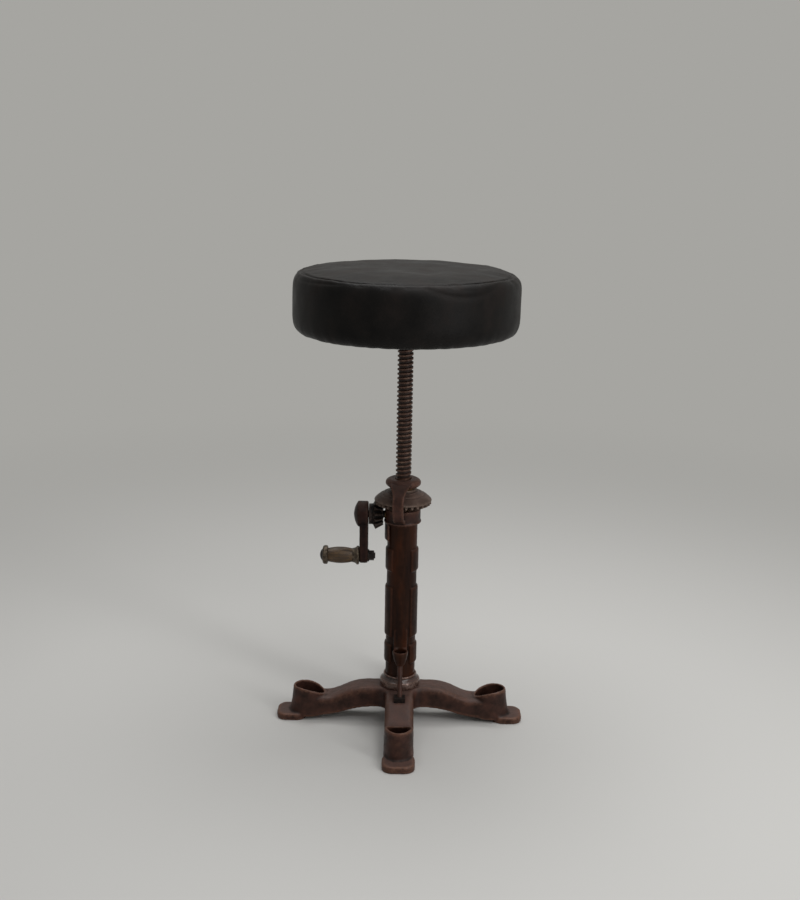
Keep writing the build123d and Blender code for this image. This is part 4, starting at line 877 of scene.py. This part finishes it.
# Hem tacks: blackened iron tacks with domed heads.
# They hold the leather's turned-in edge to the board, set by eye and not quite in a circle.
TACKS = {
    "Count": 44,
    "Circle": 150 * MM,
    "Level": cover_low.z + 0.4 * MM,
    "Head radius": 3.8 * MM,
    "Seed": 7,
}
TACK_STRAY = 2 * MM
TACK_ROUND = 0.32  # the head's height as a share of its radius
tree, size = nodes_tree("hem_tacks", TACKS)
ring = add(tree, "GeometryNodeMeshCircle", {"Vertices": size["Count"], "Radius": size["Circle"]})
level = add(tree, "ShaderNodeCombineXYZ", {"Z": size["Level"]})
lowered = add(tree, "GeometryNodeTransform", {"Geometry": ring.outputs[0], "Translation": level.outputs[0]})
stray = add(
    tree,
    "FunctionNodeRandomValue",
    {"Min": (-TACK_STRAY, -TACK_STRAY, 0), "Max": (TACK_STRAY, TACK_STRAY, 0), "Seed": size["Seed"]},
    data_type="FLOAT_VECTOR",
)
stray_by = {"Geometry": lowered.outputs[0], "Offset": stray.outputs["Value"]}
strewn = add(tree, "GeometryNodeSetPosition", stray_by)
tack = add(tree, "GeometryNodeMeshUVSphere", {"Segments": 12, "Rings": 6, "Radius": size["Head radius"]})
tacks = add(
    tree,
    "GeometryNodeInstanceOnPoints",
    {"Points": strewn.outputs[0], "Instance": tack.outputs["Mesh"], "Scale": (1, 1, TACK_ROUND)},
)
finished_tree(tree, tacks.outputs[0], black_steel)
hem_tacks = grown("hem_tacks", tree, TACKS)
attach(hem_tacks, "lift")

# Stage: a pale floor that fades into the backdrop and is clear from below, and soft studio light.
# The camera stands at the photograph's viewing angle.
FLOOR_HALF = 9.0
FADE_START, FADE_END = 0.5, 2.4
BACKDROP = linear("#a6a5a1")
floor_mesh = bpy.data.meshes.new("floor")
corners = [(x * FLOOR_HALF, y * FLOOR_HALF, 0) for x, y in ((-1, -1), (1, -1), (1, 1), (-1, 1))]
floor_mesh.from_pydata(corners, [], [(0, 1, 2, 3)])
floor = new_piece("floor", floor_mesh)


def shows_backdrop(tree):
    """1 for rays from the camera, and for rays that a surface mirrors or lets through, otherwise 0."""
    rays = add(tree, "ShaderNodeLightPath").outputs
    shown = rays["Is Camera Ray"]
    for kind in ("Is Glossy Ray", "Is Transmission Ray"):
        shown = add(tree, "ShaderNodeMath", {0: shown, 1: rays[kind]}, operation="MAXIMUM").outputs[0]
    return shown


made, tree = finish_named("pale_floor")
place = add(tree, "ShaderNodeTexCoord").outputs["Object"]
away = add(tree, "ShaderNodeVectorMath", {0: place}, operation="LENGTH").outputs["Value"]
fade = {"Value": away, "From Min": FADE_START, "From Max": FADE_END}
far = add(tree, "ShaderNodeMapRange", fade, interpolation_type="SMOOTHSTEP").outputs["Result"]
share = add(tree, "ShaderNodeMath", {0: far, 1: shows_backdrop(tree)}, operation="MULTIPLY").outputs[0]
near_floor = add(tree, "ShaderNodeBsdfPrincipled", {"Base Color": linear("#c9c8c5"), "Roughness": 0.6})
far_floor = add(tree, "ShaderNodeEmission", {"Color": BACKDROP})
either = add(tree, "ShaderNodeMixShader", {0: share, 1: near_floor.outputs[0], 2: far_floor.outputs[0]})
below = add(tree, "ShaderNodeNewGeometry").outputs["Backfacing"]
clear = add(tree, "ShaderNodeBsdfTransparent")
one_sided = add(tree, "ShaderNodeMixShader", {0: below, 1: either.outputs[0], 2: clear.outputs[0]})
add(tree, "ShaderNodeOutputMaterial", {"Surface": one_sided.outputs[0]})
floor_mesh.materials.append(made)

world = bpy.data.worlds.new("studio")
bpy.context.scene.world = world
world.use_nodes = True
tree = world.node_tree
tree.nodes.clear()
room = add(tree, "ShaderNodeBackground", {"Color": linear("#a9a9a8"), "Strength": 0.35})
seen = add(tree, "ShaderNodeBackground", {"Color": BACKDROP, "Strength": 1.0})
either = add(tree, "ShaderNodeMixShader", {0: shows_backdrop(tree), 1: room.outputs[0], 2: seen.outputs[0]})
add(tree, "ShaderNodeOutputWorld", {"Surface": either.outputs[0]})

LAMPS_AIM = (0, 0, 0.4)


def softbox(name, place, width, height, power):
    """A soft lamp of that size and power, aimed at the stool."""
    lamp = bpy.data.lights.new(name, "AREA")
    lamp.shape = "RECTANGLE"
    lamp.size, lamp.size_y, lamp.energy = width, height, power
    holder = bpy.data.objects.new(name, lamp)
    bpy.context.scene.collection.objects.link(holder)
    holder.location = place
    holder.rotation_euler = (Vector(LAMPS_AIM) - Vector(place)).to_track_quat("-Z", "Y").to_euler()


softbox("overhead", (0.1, 0.3, 2.6), width=2.2, height=1.8, power=50)
softbox("right_strip", (1.6, -1.5, 1.3), width=0.4, height=1.8, power=17)
softbox("front_fill", (0.8, -1.6, 2.5), width=1.2, height=1.2, power=11)

CAMERA_PLACE = (0, -2.0473, 0.9861)
CAMERA_TURN, CAMERA_DIP, CAMERA_ROLL = 0.0031, 0.2492, 0.0175
FOCAL_PIXELS, FRAME_HEIGHT = 1311.8, 900
lens = bpy.data.cameras.new("camera")
lens.sensor_width = 36
lens.lens = FOCAL_PIXELS * lens.sensor_width / FRAME_HEIGHT
camera = bpy.data.objects.new("camera", lens)
bpy.context.scene.collection.objects.link(camera)
aim = Matrix.Rotation(CAMERA_TURN, 4, "Z") @ Matrix.Rotation(pi / 2 - CAMERA_DIP, 4, "X")
camera.matrix_world = Matrix.Translation(CAMERA_PLACE) @ aim @ Matrix.Rotation(CAMERA_ROLL, 4, "Z")
bpy.context.scene.camera = camera
bpy.context.scene.view_settings.view_transform = "Standard"
